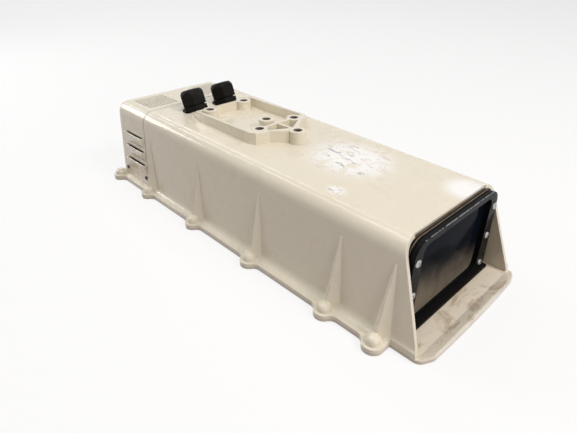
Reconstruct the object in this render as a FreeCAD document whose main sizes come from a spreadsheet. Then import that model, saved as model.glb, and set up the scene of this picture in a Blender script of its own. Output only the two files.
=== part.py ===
import FreeCAD
import Part
import Sketcher
import math
import os
import re

# Security camera housing, lying with its lid down, as pictured.
# Millimetres. The window faces -Y, the mounting pad faces +Z.
# The origin is under the middle of the housing, on the surface that the lid rests on.

doc = FreeCAD.newDocument("camera_housing")
sheet = doc.addObject("Spreadsheet::Sheet", "Sizes")
vector = FreeCAD.Vector

# Driving dimensions: name, value in mm or degrees, meaning.
DRIVING = [
    ("boss_in", 0.5, "row of lid screw bosses inside the flange edge"),
    ("boss_first", 32, "front foot to the first boss"),
    ("pitch_one", 52, "first to second boss"),
    ("pitch_two", 100, "second to third boss"),
    ("pitch_three", 98, "third to fourth boss"),
    ("pitch_four", 99, "fourth to fifth boss"),
    ("pitch_five", 74.5, "fifth to sixth boss, on the rear cover"),
    ("ear_radius", 9.3, "round ear about each boss"),
    ("dome_radius", 6.4, "blind dome over each lid screw"),
    ("dome_height", 7, "dome above the flange"),
    ("dome_round", 5.2, "rounding of the dome"),
    ("lip_reach", 11, "lid ahead of the front foot"),
    ("lip_bow", 1.3, "bow of the lid's front edge"),
    ("lip_chamfer_wide", 12.5, "slanted front corners of the lid, across"),
    ("lip_chamfer_long", 6.2, "slanted front corners of the lid, front to back"),
    ("lip_rise", 3, "raised front lip above the lid"),
    ("lip_crest", 2, "flat top of the lip"),
    ("lip_ramp", 8.5, "slope behind the lip"),
    ("lid_thick", 3, "lid plate"),
    ("lid_corner", 8, "rounding of the lid's front corners"),
    ("flange_thick", 3, "flange of the castings"),
    ("flange_wide", 7.3, "flange beyond the foot of the side walls"),
    ("flange_narrow", 1.2, "the same ahead of the first ear"),
    ("cove", 7.6, "hollow rounding between wall and flange"),
    ("ear_blend", 8, "hollow rounding between an ear and the flange edge"),
    ("foot_front", 78.9, "half width of the casting at its front foot"),
    ("foot_rear", 83.2, "half width at the seam foot"),
    ("head_front", 68.6, "half width at the top, front, before rounding"),
    ("head_rear", 75.8, "half width at the top, seam, before rounding"),
    ("top_front", 91.3, "height of the top panel at the front foot"),
    ("top_rear", 101.3, "height of the top panel at the seam"),
    ("edge_round", 15, "rounding of the long top edges"),
    ("wall", 3, "side walls and top of the main casting"),
    ("rim_lean", 0.352, "how far the front rim leans back for each mm of height"),
    ("seam_after", 10.4, "last boss of the main casting to the seam"),
    ("seam_gap", 0.6, "open joint between the two castings"),
    ("bulkhead", 3.5, "rear wall of the main casting"),
    ("front_wall_at", 31, "front foot to the window wall"),
    ("front_wall", 5.5, "thickness of the window wall"),
    ("rib_top", 72, "height of the gusset ribs"),
    ("rib_foot", 8.6, "how far a gusset stands out from the wall at the flange"),
    ("rib_head", 0.8, "the same at its top"),
    ("pad_rise", 12.42, "mounting pad above the top panel at the front mount holes"),
    ("pad_deep", 10.8, "depth of the pad's pockets"),
    ("pad_half", 40.5, "half width of the pad"),
    ("pad_wall", 3, "walls and ribs of the pad"),
    ("mount_half", 24.7, "half spacing of the mount holes across"),
    ("mount_front", 238, "front foot to the front mount holes"),
    ("mount_length", 87, "front to rear mount holes"),
    ("centre_after", 17.5, "front holes to the centre hole"),
    ("nose_before", 31, "nose hole ahead of the front holes"),
    ("mount_boss_wall", 4.5, "metal round the mount holes"),
    ("mount_hole", 4, "radius of the threaded mount holes"),
    ("mount_deep", 10, "depth of the mount holes"),
    ("pad_rear_after", 6, "rear holes to the outside of the rear wall"),
    ("pad_front_before", 8.5, "front wall of the pad ahead of the front holes"),
    ("gland_half", 21.9, "centre line to each cable gland"),
    ("gland_at", 357.5, "front foot to the gland seats"),
    ("gland_sink", 1.3, "middle of the gland seats below the line of the top panel"),
    ("gland_tilt", 21.8, "lean of the glands to the rear, degrees"),
    ("gland_flats", 27, "across the flats of the gland hexagons"),
    ("gland_body_wall", 2.5, "metal between the gland's thread and its cable way"),
    ("gland_thread", 10, "radius of the gland's lower thread"),
    ("gland_nut_wall", 1.6, "dome nut at its flats"),
    ("gland_lip", 1, "dome nut's lip over the seal"),
    ("gland_wall", 5, "thickness of metal under a gland"),
    ("gland_room", 0.8, "spot face beyond the corners of the gland hexagon"),
    ("wedge_half", 38, "half width of the sloped block that carries the glands"),
    ("wedge_edge", 4, "rounding of that block's upper edges"),
    ("bezel_thick", 4, "window bezel"),
    ("bezel_gasket", 1, "gasket behind the bezel"),
    ("bezel_foot_gap", 4.4, "bezel to the side fins at its bottom"),
    ("bezel_head_gap", 1, "bezel to the side fins at its top"),
    ("bezel_low", 4, "bottom of the bezel"),
    ("bezel_drop", 2.1, "top of the bezel below the top panel"),
    ("bezel_corner", 15, "upper corners of the bezel"),
    ("bezel_corner_low", 5, "lower corners of the bezel"),
    ("border_side", 10.1, "bezel beside the window opening, at the top"),
    ("border_low", 3.3, "bezel below the window opening"),
    ("border_top", 5.5, "bezel above the window opening"),
    ("view_corner", 8, "corners of the window opening"),
    ("glass_edge", 2.5, "glass beyond the opening on each side"),
    ("glass_thick", 4, "window glass"),
    ("glass_gasket", 1, "gasket behind the glass"),
    ("fit_gap", 0.3, "clearance round loose pieces"),
    ("screw_beside", 6.5, "window opening to its screws"),
    ("screw_above_sill", 3.7, "bottom of the opening to the lowest window screws"),
    ("screw_below_head", 11.5, "highest window screws to the top of the opening"),
    ("sill_deep", 4.5, "rubber sill ahead of the bezel"),
    ("sill_high", 3.2, "height of the rubber sill"),
    ("cover_length", 75.6, "seam to the foot of the rear wall"),
    ("cover_wall", 2.6, "walls of the rear cover"),
    ("cover_lean", 3.2, "top of the rear wall ahead of its foot"),
    ("cover_flange", 1, "flange behind the rear wall"),
    ("louvre_length", 44, "length of the louvre slots"),
    ("louvre_first", 5, "seam to the louvres"),
    ("louvre_drop", 33.3, "highest louvre lip below the top panel"),
    ("louvre_step", 17.3, "spacing of the louvres"),
    ("louvre_lip", 4, "how far a louvre stands out"),
    ("louvre_fall", 13, "height of a louvre scoop"),
    ("louvre_skin", 1.4, "thickness of a louvre lip"),
    ("louvre_taper", 4, "slanted ends of a louvre scoop"),
    ("grille_start", 20, "centre line to the grille"),
    ("grille_pitch", 3.4, "spacing of the grille slots"),
    ("grille_slot", 1.7, "width of a grille slot"),
    ("grille_count", 12, "slots on each side"),
    ("grille_first", 10, "seam to the grille"),
    ("grille_length", 42, "length of the grille slots"),
    ("side_screw_height", 16.4, "height of the screen screws"),
    ("screw_thread", 2.4, "radius of the lid screws"),
    ("screw_head", 4.6, "head radius of the lid screws"),
    ("screw_long", 10.3, "length of the lid screws"),
    ("small_thread", 1.5, "radius of the small screws"),
    ("small_head", 2.9, "head radius of the small screws"),
    ("small_head_high", 1.7, "head height of the small screws"),
    ("window_thread", 2, "radius of the window screws"),
    ("window_head", 3.4, "head radius of the window screws"),
    ("window_head_high", 1.6, "head height of the window screws"),
    ("seal_wide", 3, "width of the lid gasket"),
    ("seal_deep", 1.2, "thickness of the lid gasket"),
    ("fan_side", 60, "side of the square fan"),
    ("fan_thick", 15, "thickness of the fan"),
    ("fan_height", 50, "height of the fan's shaft"),
    ("fan_hole_in", 5, "fan's screws inside its sides"),
    ("fan_rim", 1.6, "thinnest part of the fan's frame"),
    ("fan_tip_gap", 1, "fan blades to the frame"),
    ("fan_hub", 12.5, "radius of the fan's hub"),
    ("fan_shaft", 1.5, "radius of the fan's shaft"),
    ("fan_play", 0.05, "running clearance of the fan's shaft"),
    ("fan_blades", 7, "number of blades"),
    ("fan_blade_pitch", 38, "slope of the blades, degrees"),
    ("sled_half", 26, "half width of the camera sled"),
    ("sled_start", 74, "front foot to the sled"),
    ("sled_length", 220, "length of the sled"),
    ("sled_thick", 2, "sheet of the sled"),
    ("sled_hang", 7.6, "sled's upper face below the front of the top panel"),
    ("sled_post_half", 18, "centre line to the sled's posts"),
    ("sled_post_in", 40, "sled end to the nearer posts"),
    ("sled_travel", 15, "travel of the sled each way"),
    ("post_radius", 5, "radius of the cast posts"),
    ("board_half", 16, "half width of the power board"),
    ("board_x", 50, "centre line to the middle of the board"),
    ("board_start", 190, "front foot to the board"),
    ("board_length", 92, "length of the board"),
    ("board_thick", 1.6, "thickness of the board"),
    ("board_hang", 11.3, "power board below the front of the top panel"),
    ("standoff_high", 8, "height of the board's standoffs"),
    ("heater_half", 24, "half width of the window heater"),
    ("heater_start", 41, "front foot to the heater"),
    ("heater_deep", 14, "heater from front to back"),
    ("heater_hang", 13.3, "underside of the heater below the front of the top panel"),
    ("heater_high", 9, "height of the heater"),
    ("thermostat_radius", 8, "radius of the thermostat"),
    ("thermostat_high", 6, "height of the thermostat"),
]

# Derived values, worked out in the sheet from the ones above.
DERIVED = [
    ("length_housing", "boss_first+pitch_one+pitch_two+pitch_three+pitch_four+seam_after"),
    ("flange_half", "foot_rear+flange_wide"),
    ("flange_front_half", "foot_front+flange_narrow"),
    ("boss_half", "flange_half-boss_in"),
    ("ear_reach", "sqrt(ear_radius*ear_radius-boss_in*boss_in)"),
    ("spacer_thick", "glass_thick+glass_gasket"),
    ("cover_round", "edge_round-1"),
    ("mount_boss", "mount_hole+mount_boss_wall"),
    ("front_y", "-(length_housing+cover_length+cover_flange-lip_reach)/2"),
    ("boss_a", "front_y+boss_first"),
    ("boss_b", "boss_a+pitch_one"),
    ("boss_c", "boss_b+pitch_two"),
    ("boss_d", "boss_c+pitch_three"),
    ("boss_e", "boss_d+pitch_four"),
    ("boss_f", "boss_e+pitch_five"),
    ("seam_y", "boss_e+seam_after"),
    ("shell_length", "seam_y-front_y"),
    ("flange_top", "lid_thick+flange_thick"),
    ("step_y", "boss_a-ear_radius"),
    ("window_y", "front_y+front_wall_at"),
    ("bezel_y", "window_y-spacer_thick-bezel_gasket-bezel_thick"),
    ("glass_y", "window_y-spacer_thick"),
    ("cavity_front", "window_y+front_wall"),
    ("cavity_rear", "seam_y-bulkhead"),
    ("roof_slope", "(top_rear-top_front)/shell_length"),
    ("cover_front", "seam_y+seam_gap"),
    ("cover_rear", "seam_y+cover_length"),
    ("wall_lean", "(foot_rear-head_rear)/(top_rear-lid_thick)"),
    ("rear_lean", "cover_lean/(top_rear-lid_thick)"),
    ("louvre_top", "top_rear-louvre_drop"),
    ("mount_y", "front_y+mount_front"),
    ("mount_rear_y", "mount_y+mount_length"),
    ("nose_y", "mount_y-nose_before"),
    ("centre_y", "mount_y+centre_after"),
    ("pad_rear_y", "mount_rear_y+pad_rear_after"),
    ("pad_front_y", "mount_y-pad_front_before"),
    ("pad_top", "top_front+roof_slope*mount_front+pad_rise"),
    ("gland_y", "front_y+gland_at"),
    ("gland_height", "top_front+roof_slope*gland_at-gland_sink"),
    ("gland_bore", "gland_thread-gland_body_wall"),
    ("gland_nut_bore", "gland_flats/2-gland_nut_wall"),
    ("gland_cable", "gland_bore-gland_lip"),
    ("seat_radius", "gland_flats/2/cos(30)+gland_room"),
    ("bezel_foot", "foot_front-wall-bezel_foot_gap"),
    ("bezel_head", "head_front-wall-bezel_head_gap"),
    ("bezel_high", "top_front+roof_slope*front_wall_at-bezel_drop"),
    ("view_half", "bezel_head-border_side"),
    ("view_low", "bezel_low+border_low"),
    ("view_high", "bezel_high-border_top"),
    ("window_screw_half", "view_half+screw_beside"),
    ("window_screw_low", "view_low+screw_above_sill"),
    ("window_screw_step", "(view_high-screw_below_head-window_screw_low)/2"),
    ("fan_hole_half", "fan_side/2-fan_hole_in"),
    ("fan_bore", "fan_side/2-fan_rim"),
    ("fan_blade", "fan_bore-fan_tip_gap"),
    ("sled_top", "top_front-sled_hang"),
    ("board_top", "top_front-board_hang"),
    ("heater_low", "top_front-heater_hang"),
    ("grille_y", "seam_y+grille_first"),
    ("louvre_y", "seam_y+louvre_first"),
    ("sled_y", "front_y+sled_start"),
    ("board_y", "front_y+board_start"),
    ("heater_y", "front_y+heater_start"),
]

for row, (alias, value, meaning) in enumerate(DRIVING, start=1):
    sheet.set(f"A{row}", meaning)
    sheet.set(f"B{row}", str(value))
    sheet.setAlias(f"B{row}", alias)
doc.recompute()
for row, (alias, formula) in enumerate(DERIVED, start=len(DRIVING) + 1):
    sheet.set(f"A{row}", alias.replace("_", " "))
    sheet.set(f"B{row}", "=" + formula)
    sheet.setAlias(f"B{row}", alias)
    doc.recompute()

ALIASES = {name for name, *rest in DRIVING} | {name for name, formula in DERIVED}


def ex(text):
    """Turn plain size names into references to the sheet."""
    return re.sub(r"[a-z][a-z_]*", lambda m: "Sizes." + m[0] if m[0] in ALIASES else m[0], str(text))


def num(text):
    """Value of an expression as a plain number."""
    value = sheet.evalExpression(ex(text))
    return float(getattr(value, "Value", value))


# Sketch and feature helpers

def new_body(name):
    return doc.addObject("PartDesign::Body", name)


def sketch_on(body, name, plane, offset="0"):
    """Sketch on one of the body's own origin planes, moved along the plane's normal."""
    sketch = body.newObject("Sketcher::SketchObject", name)
    support = next(f for f in body.Origin.OriginFeatures if f.Role == plane)
    sketch.AttachmentSupport = [(support, "")]
    sketch.MapMode = "FlatFace"
    sketch.setExpression(".AttachmentOffset.Base.z", ex(offset))
    return sketch


def bind_point(sketch, index, place, point):
    """Tie one point of the sketch to its two coordinates."""
    for kind, text in zip(("DistanceX", "DistanceY"), point):
        number = sketch.addConstraint(Sketcher.Constraint(kind, -1, 1, index, place, num(text)))
        sketch.setExpression(f"Constraints[{number}]", ex(text))


def polygon(sketch, points):
    """Closed outline with every corner bound to the sheet."""
    places = [vector(num(x), num(y), 0) for x, y in points]
    count = len(points)
    start = sketch.GeometryCount
    for i in range(count):
        sketch.addGeometry(Part.LineSegment(places[i], places[(i + 1) % count]), False)
    for i in range(count):
        after = start + (i + 1) % count
        sketch.addConstraint(Sketcher.Constraint("Coincident", start + i, 2, after, 1))
    for i in range(count):
        bind_point(sketch, start + i, 1, points[i])


def rounded_outline(sketch, points):
    """Closed outline; a corner that has a radius is rounded by a tangent arc."""
    spots = [vector(num(x), num(y), 0) for x, y, radius in points]
    count = len(points)
    enter = []
    leave = []
    arcs = {}
    for i, (x, y, radius) in enumerate(points):
        back = (spots[i - 1] - spots[i]).normalize()
        ahead = (spots[(i + 1) % count] - spots[i]).normalize()
        reach = 0
        if radius is not None:
            half = back.getAngle(ahead) / 2
            reach = num(radius) / math.tan(half)
            middle = spots[i] + (back + ahead).normalize() * (num(radius) / math.sin(half))
            turn_left = (back.cross(ahead)).z < 0
            arcs[i] = (middle, turn_left)
        enter.append(spots[i] + back * reach)
        leave.append(spots[i] + ahead * reach)
    for i in range(count):
        sketch.addGeometry(Part.LineSegment(leave[i], enter[(i + 1) % count]), False)
    for i, (x, y, radius) in enumerate(points):
        if i in arcs:
            add_corner_arc(sketch, i, count, points[i], enter[i], leave[i], *arcs[i])
        else:
            sketch.addConstraint(Sketcher.Constraint("Coincident", (i - 1) % count, 2, i, 1))
            bind_point(sketch, i, 1, (x, y))


def add_corner_arc(sketch, i, count, point, enter, leave, middle, turn_left):
    """Arc between lines i-1 and i, held by its corner point and its radius."""
    x, y, radius = point
    first, last = (enter, leave) if turn_left else (leave, enter)
    start = math.atan2(first.y - middle.y, first.x - middle.x)
    stop = math.atan2(last.y - middle.y, last.x - middle.x)
    if stop < start:
        stop += 2 * math.pi
    ring = Part.Circle(middle, vector(0, 0, 1), num(radius))
    arc = sketch.addGeometry(Part.ArcOfCircle(ring, start, stop), False)
    corner = sketch.addGeometry(Part.Point(vector(num(x), num(y), 0)), True)
    before = (i - 1) % count
    sketch.addConstraint(Sketcher.Constraint("Tangent", before, 2, arc, 1 if turn_left else 2))
    sketch.addConstraint(Sketcher.Constraint("Tangent", i, 1, arc, 2 if turn_left else 1))
    number = sketch.addConstraint(Sketcher.Constraint("Radius", arc, num(radius)))
    sketch.setExpression(f"Constraints[{number}]", ex(radius))
    bind_point(sketch, corner, 1, (x, y))
    sketch.addConstraint(Sketcher.Constraint("PointOnObject", corner, 1, before))
    sketch.addConstraint(Sketcher.Constraint("PointOnObject", corner, 1, i))


def circle(sketch, x, y, radius):
    index = sketch.addGeometry(Part.Circle(vector(num(x), num(y), 0), vector(0, 0, 1), num(radius)), False)
    bind_point(sketch, index, 3, (x, y))
    number = sketch.addConstraint(Sketcher.Constraint("Radius", index, num(radius)))
    sketch.setExpression(f"Constraints[{number}]", ex(radius))


def mirror_points(points):
    """Right half of an outline, bottom to top, completed with its mirror image."""
    return points + [(f"-({x})", *rest) for x, *rest in reversed(points)]


def pad(body, name, sketch, length, reverse=False, both=False):
    feature = body.newObject("PartDesign::Pad", name)
    feature.Profile = sketch
    feature.setExpression("Length", ex(length))
    feature.Reversed = reverse
    feature.Midplane = both
    body.Tip = feature
    return feature


def pocket(body, name, sketch, length, reverse=False, both=False):
    """Cut that must remove material; its volume is compared."""
    doc.recompute()
    before = body.Shape.Volume
    feature = body.newObject("PartDesign::Pocket", name)
    feature.Profile = sketch
    feature.setExpression("Length", ex(length))
    feature.Reversed = reverse
    feature.Midplane = both
    body.Tip = feature
    doc.recompute()
    if body.Shape.Volume > before - 0.01:
        raise RuntimeError(name + " cuts nothing")
    return feature


def loft(body, name, first, second):
    feature = body.newObject("PartDesign::AdditiveLoft", name)
    feature.Profile = first
    feature.Sections = [second]
    feature.Ruled = True
    body.Tip = feature
    return feature


def dress_edges(body, name, kind, size_name, size, wanted):
    """Fillet or chamfer the edges of the body that the test picks."""
    doc.recompute()
    base = body.Tip
    names = [f"Edge{i}" for i, edge in enumerate(base.Shape.Edges, start=1) if wanted(edge)]
    if not names:
        raise RuntimeError(name + " finds no edge")
    feature = body.newObject(kind, name)
    feature.Base = (base, names)
    feature.setExpression(size_name, ex(size))
    body.Tip = feature
    doc.recompute()
    return feature


def fillet(body, name, radius, wanted):
    return dress_edges(body, name, "PartDesign::Fillet", "Radius", radius, wanted)


def bevel(body, name, size, wanted):
    return dress_edges(body, name, "PartDesign::Chamfer", "Size", size, wanted)


def turned(name, points):
    """Solid of revolution about Z, from the half outline in the XZ plane."""
    body = new_body(name)
    sketch = sketch_on(body, name + "_profile", "XZ_Plane")
    rounded_outline(sketch, points)
    feature = body.newObject("PartDesign::Revolution", name + "_turn")
    feature.Profile = sketch
    feature.ReferenceAxis = (sketch, ["V_Axis"])
    body.Tip = feature
    return body


def ends(edge):
    return edge.Vertexes[0].Point, edge.Vertexes[-1].Point


def runs_along(edge, axis, shortest=1.0):
    """True for a straight edge whose longest stretch is along the given axis."""
    a, b = ends(edge)
    steps = [abs(a.x - b.x), abs(a.y - b.y), abs(a.z - b.z)]
    return steps[axis] > shortest and steps[axis] == max(steps)


def place(thing, x="0", y="0", z="0", axis=None, angle=None):
    """Bind the position of an object, and turn it if asked."""
    if axis is not None:
        turn = FreeCAD.Rotation(vector(*axis), num(angle))
        thing.Placement = FreeCAD.Placement(vector(0, 0, 0), turn)
    for letter, text in zip("xyz", (x, y, z)):
        thing.setExpression(f"Placement.Base.{letter}", ex(text))
    return thing


def cylinder(name, radius, height, x="0", y="0", z="0", axis=None, angle=None):
    thing = doc.addObject("Part::Cylinder", name)
    thing.setExpression("Radius", ex(radius))
    thing.setExpression("Height", ex(height))
    return place(thing, x, y, z, axis, angle)


def cone(name, radius, end_radius, height, x="0", y="0", z="0", axis=None, angle=None):
    thing = doc.addObject("Part::Cone", name)
    thing.setExpression("Radius1", ex(radius))
    thing.setExpression("Radius2", ex(end_radius))
    thing.setExpression("Height", ex(height))
    return place(thing, x, y, z, axis, angle)


def box(name, size, x="0", y="0", z="0", axis=None, angle=None):
    """Block that starts at the given corner."""
    thing = doc.addObject("Part::Box", name)
    for side, text in zip(("Length", "Width", "Height"), size):
        thing.setExpression(side, ex(text))
    return place(thing, x, y, z, axis, angle)


def hexagon(name, flats, height, z="0"):
    """Six-sided prism across the given flats."""
    thing = doc.addObject("Part::Prism", name)
    thing.Polygon = 6
    thing.setExpression("Circumradius", ex(f"({flats})/2/cos(30)"))
    thing.setExpression("Height", ex(height))
    return place(thing, z=z)


def fuse(name, things):
    thing = doc.addObject("Part::MultiFuse", name)
    thing.Shapes = things
    return thing


def cut(name, base, tool):
    thing = doc.addObject("Part::Cut", name)
    thing.Base = base
    thing.Tool = tool
    return thing


def common(name, one, other):
    thing = doc.addObject("Part::MultiCommon", name)
    thing.Shapes = [one, other]
    return thing


def group(name, things):
    """Several loose solids in one node."""
    thing = doc.addObject("Part::Compound", name)
    thing.Links = things
    return thing


ALONG_Y = ((1, 0, 0), "-90")   # turns a cylinder's +Z to +Y
TOWARD_FRONT = ((1, 0, 0), "90")   # turns a cylinder's +Z to -Y
nodes = {}


def node(name, thing):
    """Name a finished sub-part."""
    thing.Label = name
    nodes[name] = thing
    return thing


def plate(name, outline, y, thick):
    """Upright plate from the XZ outline, from y rearward."""
    body = new_body(name)
    sketch = sketch_on(body, name + "_outline", "XZ_Plane", f"-({y})")
    rounded_outline(sketch, outline)
    pad(body, name + "_pad", sketch, thick, reverse=True)
    return body


# Sections of the main casting

def share(front, rear, y):
    """Size at y between its value at the front foot and at the seam."""
    return f"({front}+({rear}-{front})*(({y})-front_y)/shell_length)"


def shell_section(y, inset="0"):
    foot = share("foot_front", "foot_rear", y) + f"-({inset})"
    head = share("head_front", "head_rear", y) + f"-({inset})"
    top = share("top_front", "top_rear", y) + f"-({inset})"
    return foot, head, top


def wall_at(y, z):
    """Outer half width of the main casting at y and height z."""
    foot, head, top = shell_section(y)
    return f"({foot}+({head}-({foot}))*(({z})-lid_thick)/({top}-lid_thick))"


HOUSING_BOSSES = ["boss_a", "boss_b", "boss_c", "boss_d", "boss_e"]
SIDES = [("left", "-1"), ("right", "1")]


def casting_shell():
    """Outside form of the main casting: tapered trough, flange, ears, domes and leaning front rim."""
    body = new_body("casting_shell")
    sections = []
    for name, y in (("front_section", "front_y"), ("seam_section", "seam_y")):
        foot, head, top = shell_section(y)
        sketch = sketch_on(body, name, "XZ_Plane", f"-({y})")
        rounded_outline(sketch, mirror_points([("flange_half", "lid_thick", None), ("flange_half", "flange_top", None),
                                               (foot, "flange_top", "cove"), (head, top, "edge_round")]))
        sections.append(sketch)
    loft(body, "trough", *sections)

    ears = sketch_on(body, "ear_outlines", "XY_Plane", "lid_thick")
    domes = sketch_on(body, "dome_outlines", "XY_Plane", "lid_thick")
    for side, sign in SIDES:
        for boss in HOUSING_BOSSES:
            circle(ears, f"{sign}*boss_half", boss, "ear_radius")
            circle(domes, f"{sign}*boss_half", boss, "dome_radius")
    pad(body, "ears", ears, "flange_thick")
    blend_ears(body, "ear_blends")
    pad(body, "domes", domes, "flange_thick+dome_height")
    crown = num("flange_top+dome_height")
    fillet(body, "dome_rounds", "dome_round",
           lambda e: hasattr(e.Curve, "Radius") and abs(e.BoundBox.ZMin - crown) < 0.01
           and abs(e.BoundBox.ZMax - crown) < 0.01)

    corner = sketch_on(body, "front_step", "XY_Plane", "0")
    for side, sign in SIDES:
        polygon(corner, [(f"{sign}*flange_front_half", "front_y-5"), (f"{sign}*(flange_half+ear_radius)", "front_y-5"),
                         (f"{sign}*(flange_half+ear_radius)", "step_y"), (f"{sign}*flange_front_half", "step_y")])
    pocket(body, "front_step_cut", corner, "2*top_rear", both=True)

    rim = sketch_on(body, "rim_outline", "YZ_Plane", "0")
    polygon(rim, [("front_y-40", "flange_top"), ("front_y", "flange_top"),
                  ("front_y+rim_lean*(2*top_rear-flange_top)", "2*top_rear"), ("front_y-40", "2*top_rear")])
    pocket(body, "rim_cut", rim, "4*flange_half", both=True)
    doc.recompute()
    return body


def blend_ears(body, name):
    """Hollow rounding where the ears meet the flange edge, away from the step and the seams."""
    reach = num("ear_reach")
    rows = [num("boss_a") + reach]
    for boss in ("boss_b", "boss_c", "boss_d"):
        rows += [num(boss) - reach, num(boss) + reach]
    rows += [num("boss_e") - reach, num("boss_f") - reach]
    edge_x = num("flange_half")
    fillet(body, name, "ear_blend",
           lambda e: abs(abs(ends(e)[0].x) - edge_x) < 0.01 and abs(ends(e)[0].z - ends(e)[1].z) > 1
           and abs(ends(e)[0].y - ends(e)[1].y) < 0.01 and min(abs(ends(e)[0].y - row) for row in rows) < 0.01)


def gusset(side, sign, boss):
    """Gusset with a sharp crest: a slender square pyramid, set cornerwise in the side wall."""
    low = "flange_top-flange_thick/2"
    foot, head = num(wall_at(boss, low)), num(wall_at(boss, "rib_top"))
    rise = num(f"rib_top-({low})")
    lean = math.degrees(math.atan2(foot - head, rise))
    rib = doc.addObject("Part::Wedge", f"rib_{side}_{boss}")
    for corner, reach in (("", "rib_foot"), ("2", "rib_head")):
        for axis in "XZ":
            rib.setExpression(f"{axis}{corner}min", ex(f"-{reach}/sqrt(2)"))
            rib.setExpression(f"{axis}{corner}max", ex(f"{reach}/sqrt(2)"))
    rib.Ymin = 0
    rib.setExpression("Ymax", ex(str(math.hypot(foot - head, rise))))
    upright = FreeCAD.Rotation(vector(1, 0, 0), 90)
    cornerwise = FreeCAD.Rotation(vector(0, 0, 1), 45)
    tilt = FreeCAD.Rotation(vector(0, 1, 0), -lean if sign == "1" else lean)
    rib.Placement = FreeCAD.Placement(vector(0, 0, 0), tilt.multiply(cornerwise).multiply(upright))
    return place(rib, f"{sign}*{wall_at(boss, low)}", boss, low)


def mounting_pad():
    """House-shaped wall with ribs, added to the top panel."""
    body = new_body("pad_block")
    outline = sketch_on(body, "pad_outline", "XY_Plane", "pad_top")
    nose_side = "mount_boss*0.9"
    right = [("pad_half-3.5", "pad_front_y"), ("pad_half", "pad_front_y+7"), ("pad_half", "pad_rear_y")]
    left = [(f"-({x})", y) for x, y in reversed(right)]
    nose = [("-mount_half+2", "pad_front_y-4"), (f"-{nose_side}", "nose_y+5"), (f"{nose_side}", "nose_y+5"),
            ("mount_half-2", "pad_front_y-4")]
    polygon(outline, right + left + nose)
    pad(body, "pad_solid", outline, "pad_deep+4", reverse=True)

    rear_pocket = sketch_on(body, "rear_pocket_outline", "XY_Plane", "pad_top")
    inner = "pad_half-pad_wall"
    polygon(rear_pocket, [(f"-({inner})", "mount_y+pad_wall/2"), (inner, "mount_y+pad_wall/2"),
                          (inner, "pad_rear_y-pad_wall"), (f"-({inner})", "pad_rear_y-pad_wall")])
    pocket(body, "rear_pocket", rear_pocket, "pad_deep")
    front_pocket = sketch_on(body, "front_pocket_outline", "XY_Plane", "pad_top")
    for side, sign in SIDES:
        polygon(front_pocket, [(f"{sign}*pad_wall/2", "mount_y-pad_wall/2"),
                               (f"{sign}*(mount_half-2)", "mount_y-pad_wall/2"),
                               (f"{sign}*(mount_half-2)", "pad_front_y-4+pad_wall*1.2"),
                               (f"{sign}*pad_wall/2", "nose_y+5+pad_wall*1.5")])
    pocket(body, "front_pocket", front_pocket, "pad_deep")

    bosses = sketch_on(body, "boss_outlines", "XY_Plane", "pad_top")
    for x, y in MOUNTS:
        circle(bosses, x, y, "mount_boss")
    pad(body, "bosses", bosses, "pad_deep+4", reverse=True)
    holes = sketch_on(body, "hole_outlines", "XY_Plane", "pad_top")
    for x, y in MOUNTS:
        circle(holes, x, y, "mount_hole")
    pocket(body, "holes", holes, "mount_deep")
    return body


MOUNTS = [("-mount_half", "mount_y"), ("mount_half", "mount_y"),
          ("-mount_half", "mount_rear_y"), ("mount_half", "mount_rear_y"),
          ("0", "centre_y"), ("0", "nose_y")]


def gland_plane(y):
    """Height of the gland seats' plane at y."""
    return f"(gland_height-tan(gland_tilt)*(({y})-gland_y))"


def gland_wedge():
    """Sloped block behind the pad, in line with the gland seats."""
    body = new_body("gland_wedge")
    sketch = sketch_on(body, "wedge_outline", "YZ_Plane", "0")
    base = "pad_top-pad_deep-4"
    rear = "gland_y+8"
    polygon(sketch, [("pad_rear_y-1", base), (rear, base), (rear, gland_plane(rear)),
                     ("pad_rear_y", gland_plane("pad_rear_y")), ("pad_rear_y-1", gland_plane("pad_rear_y"))])
    pad(body, "wedge", sketch, "2*wedge_half", both=True)
    half = num("wedge_half")
    floor = num(base)
    fillet(body, "wedge_round", "wedge_edge",
           lambda e: abs(abs(ends(e)[0].x) - half) < 0.01 and abs(ends(e)[0].x - ends(e)[1].x) < 0.01
           and abs(ends(e)[0].y - ends(e)[1].y) > 10 and min(ends(e)[0].z, ends(e)[1].z) > floor + 0.1)
    return body


def at_gland(thing, sign):
    """Stand a gland piece, made along its own axis, on its seat."""
    return place(thing, f"{sign}*gland_half", "gland_y", "gland_height", (1, 0, 0), "-gland_tilt")


def inner_section(y):
    """Half outline of the camera bay."""
    foot, head, top = shell_section(y, "wall")
    return mirror_points([(foot, "-1", None), (head, top, "edge_round-wall")])


def housing_cavity():
    """Camera bay: the trough's form, set in by the wall."""
    body = new_body("bay")
    sections = []
    for name, y in (("bay_front", "cavity_front"), ("bay_rear", "cavity_rear")):
        sketch = sketch_on(body, name, "XZ_Plane", f"-({y})")
        rounded_outline(sketch, inner_section(y))
        sections.append(sketch)
    loft(body, "bay_loft", *sections)
    block = box("gland_block", ("2*wedge_half", "40", "30"), "-wedge_half", "gland_y-20", "gland_height-16")
    return cut("bay_open", body, block)


def housing_mouth():
    """Space ahead of the window wall, between the two side fins."""
    body = plate("mouth", inner_section("window_y"), "front_y-5", "front_wall_at+5")
    roof = box("mouth_roof", ("2*(head_front-edge_round+2)", "front_wall_at+5", "40"),
               "-(head_front-edge_round+2)", "front_y-5", "top_front-15")
    return fuse("mouth_open", [body, roof])


def rounded_hole(name, half, low, high, corner, y, thick):
    """Solid used to cut or fill an upright rectangular window."""
    return plate(name, mirror_points([(half, low, corner), (half, high, corner)]), y, thick)


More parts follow.
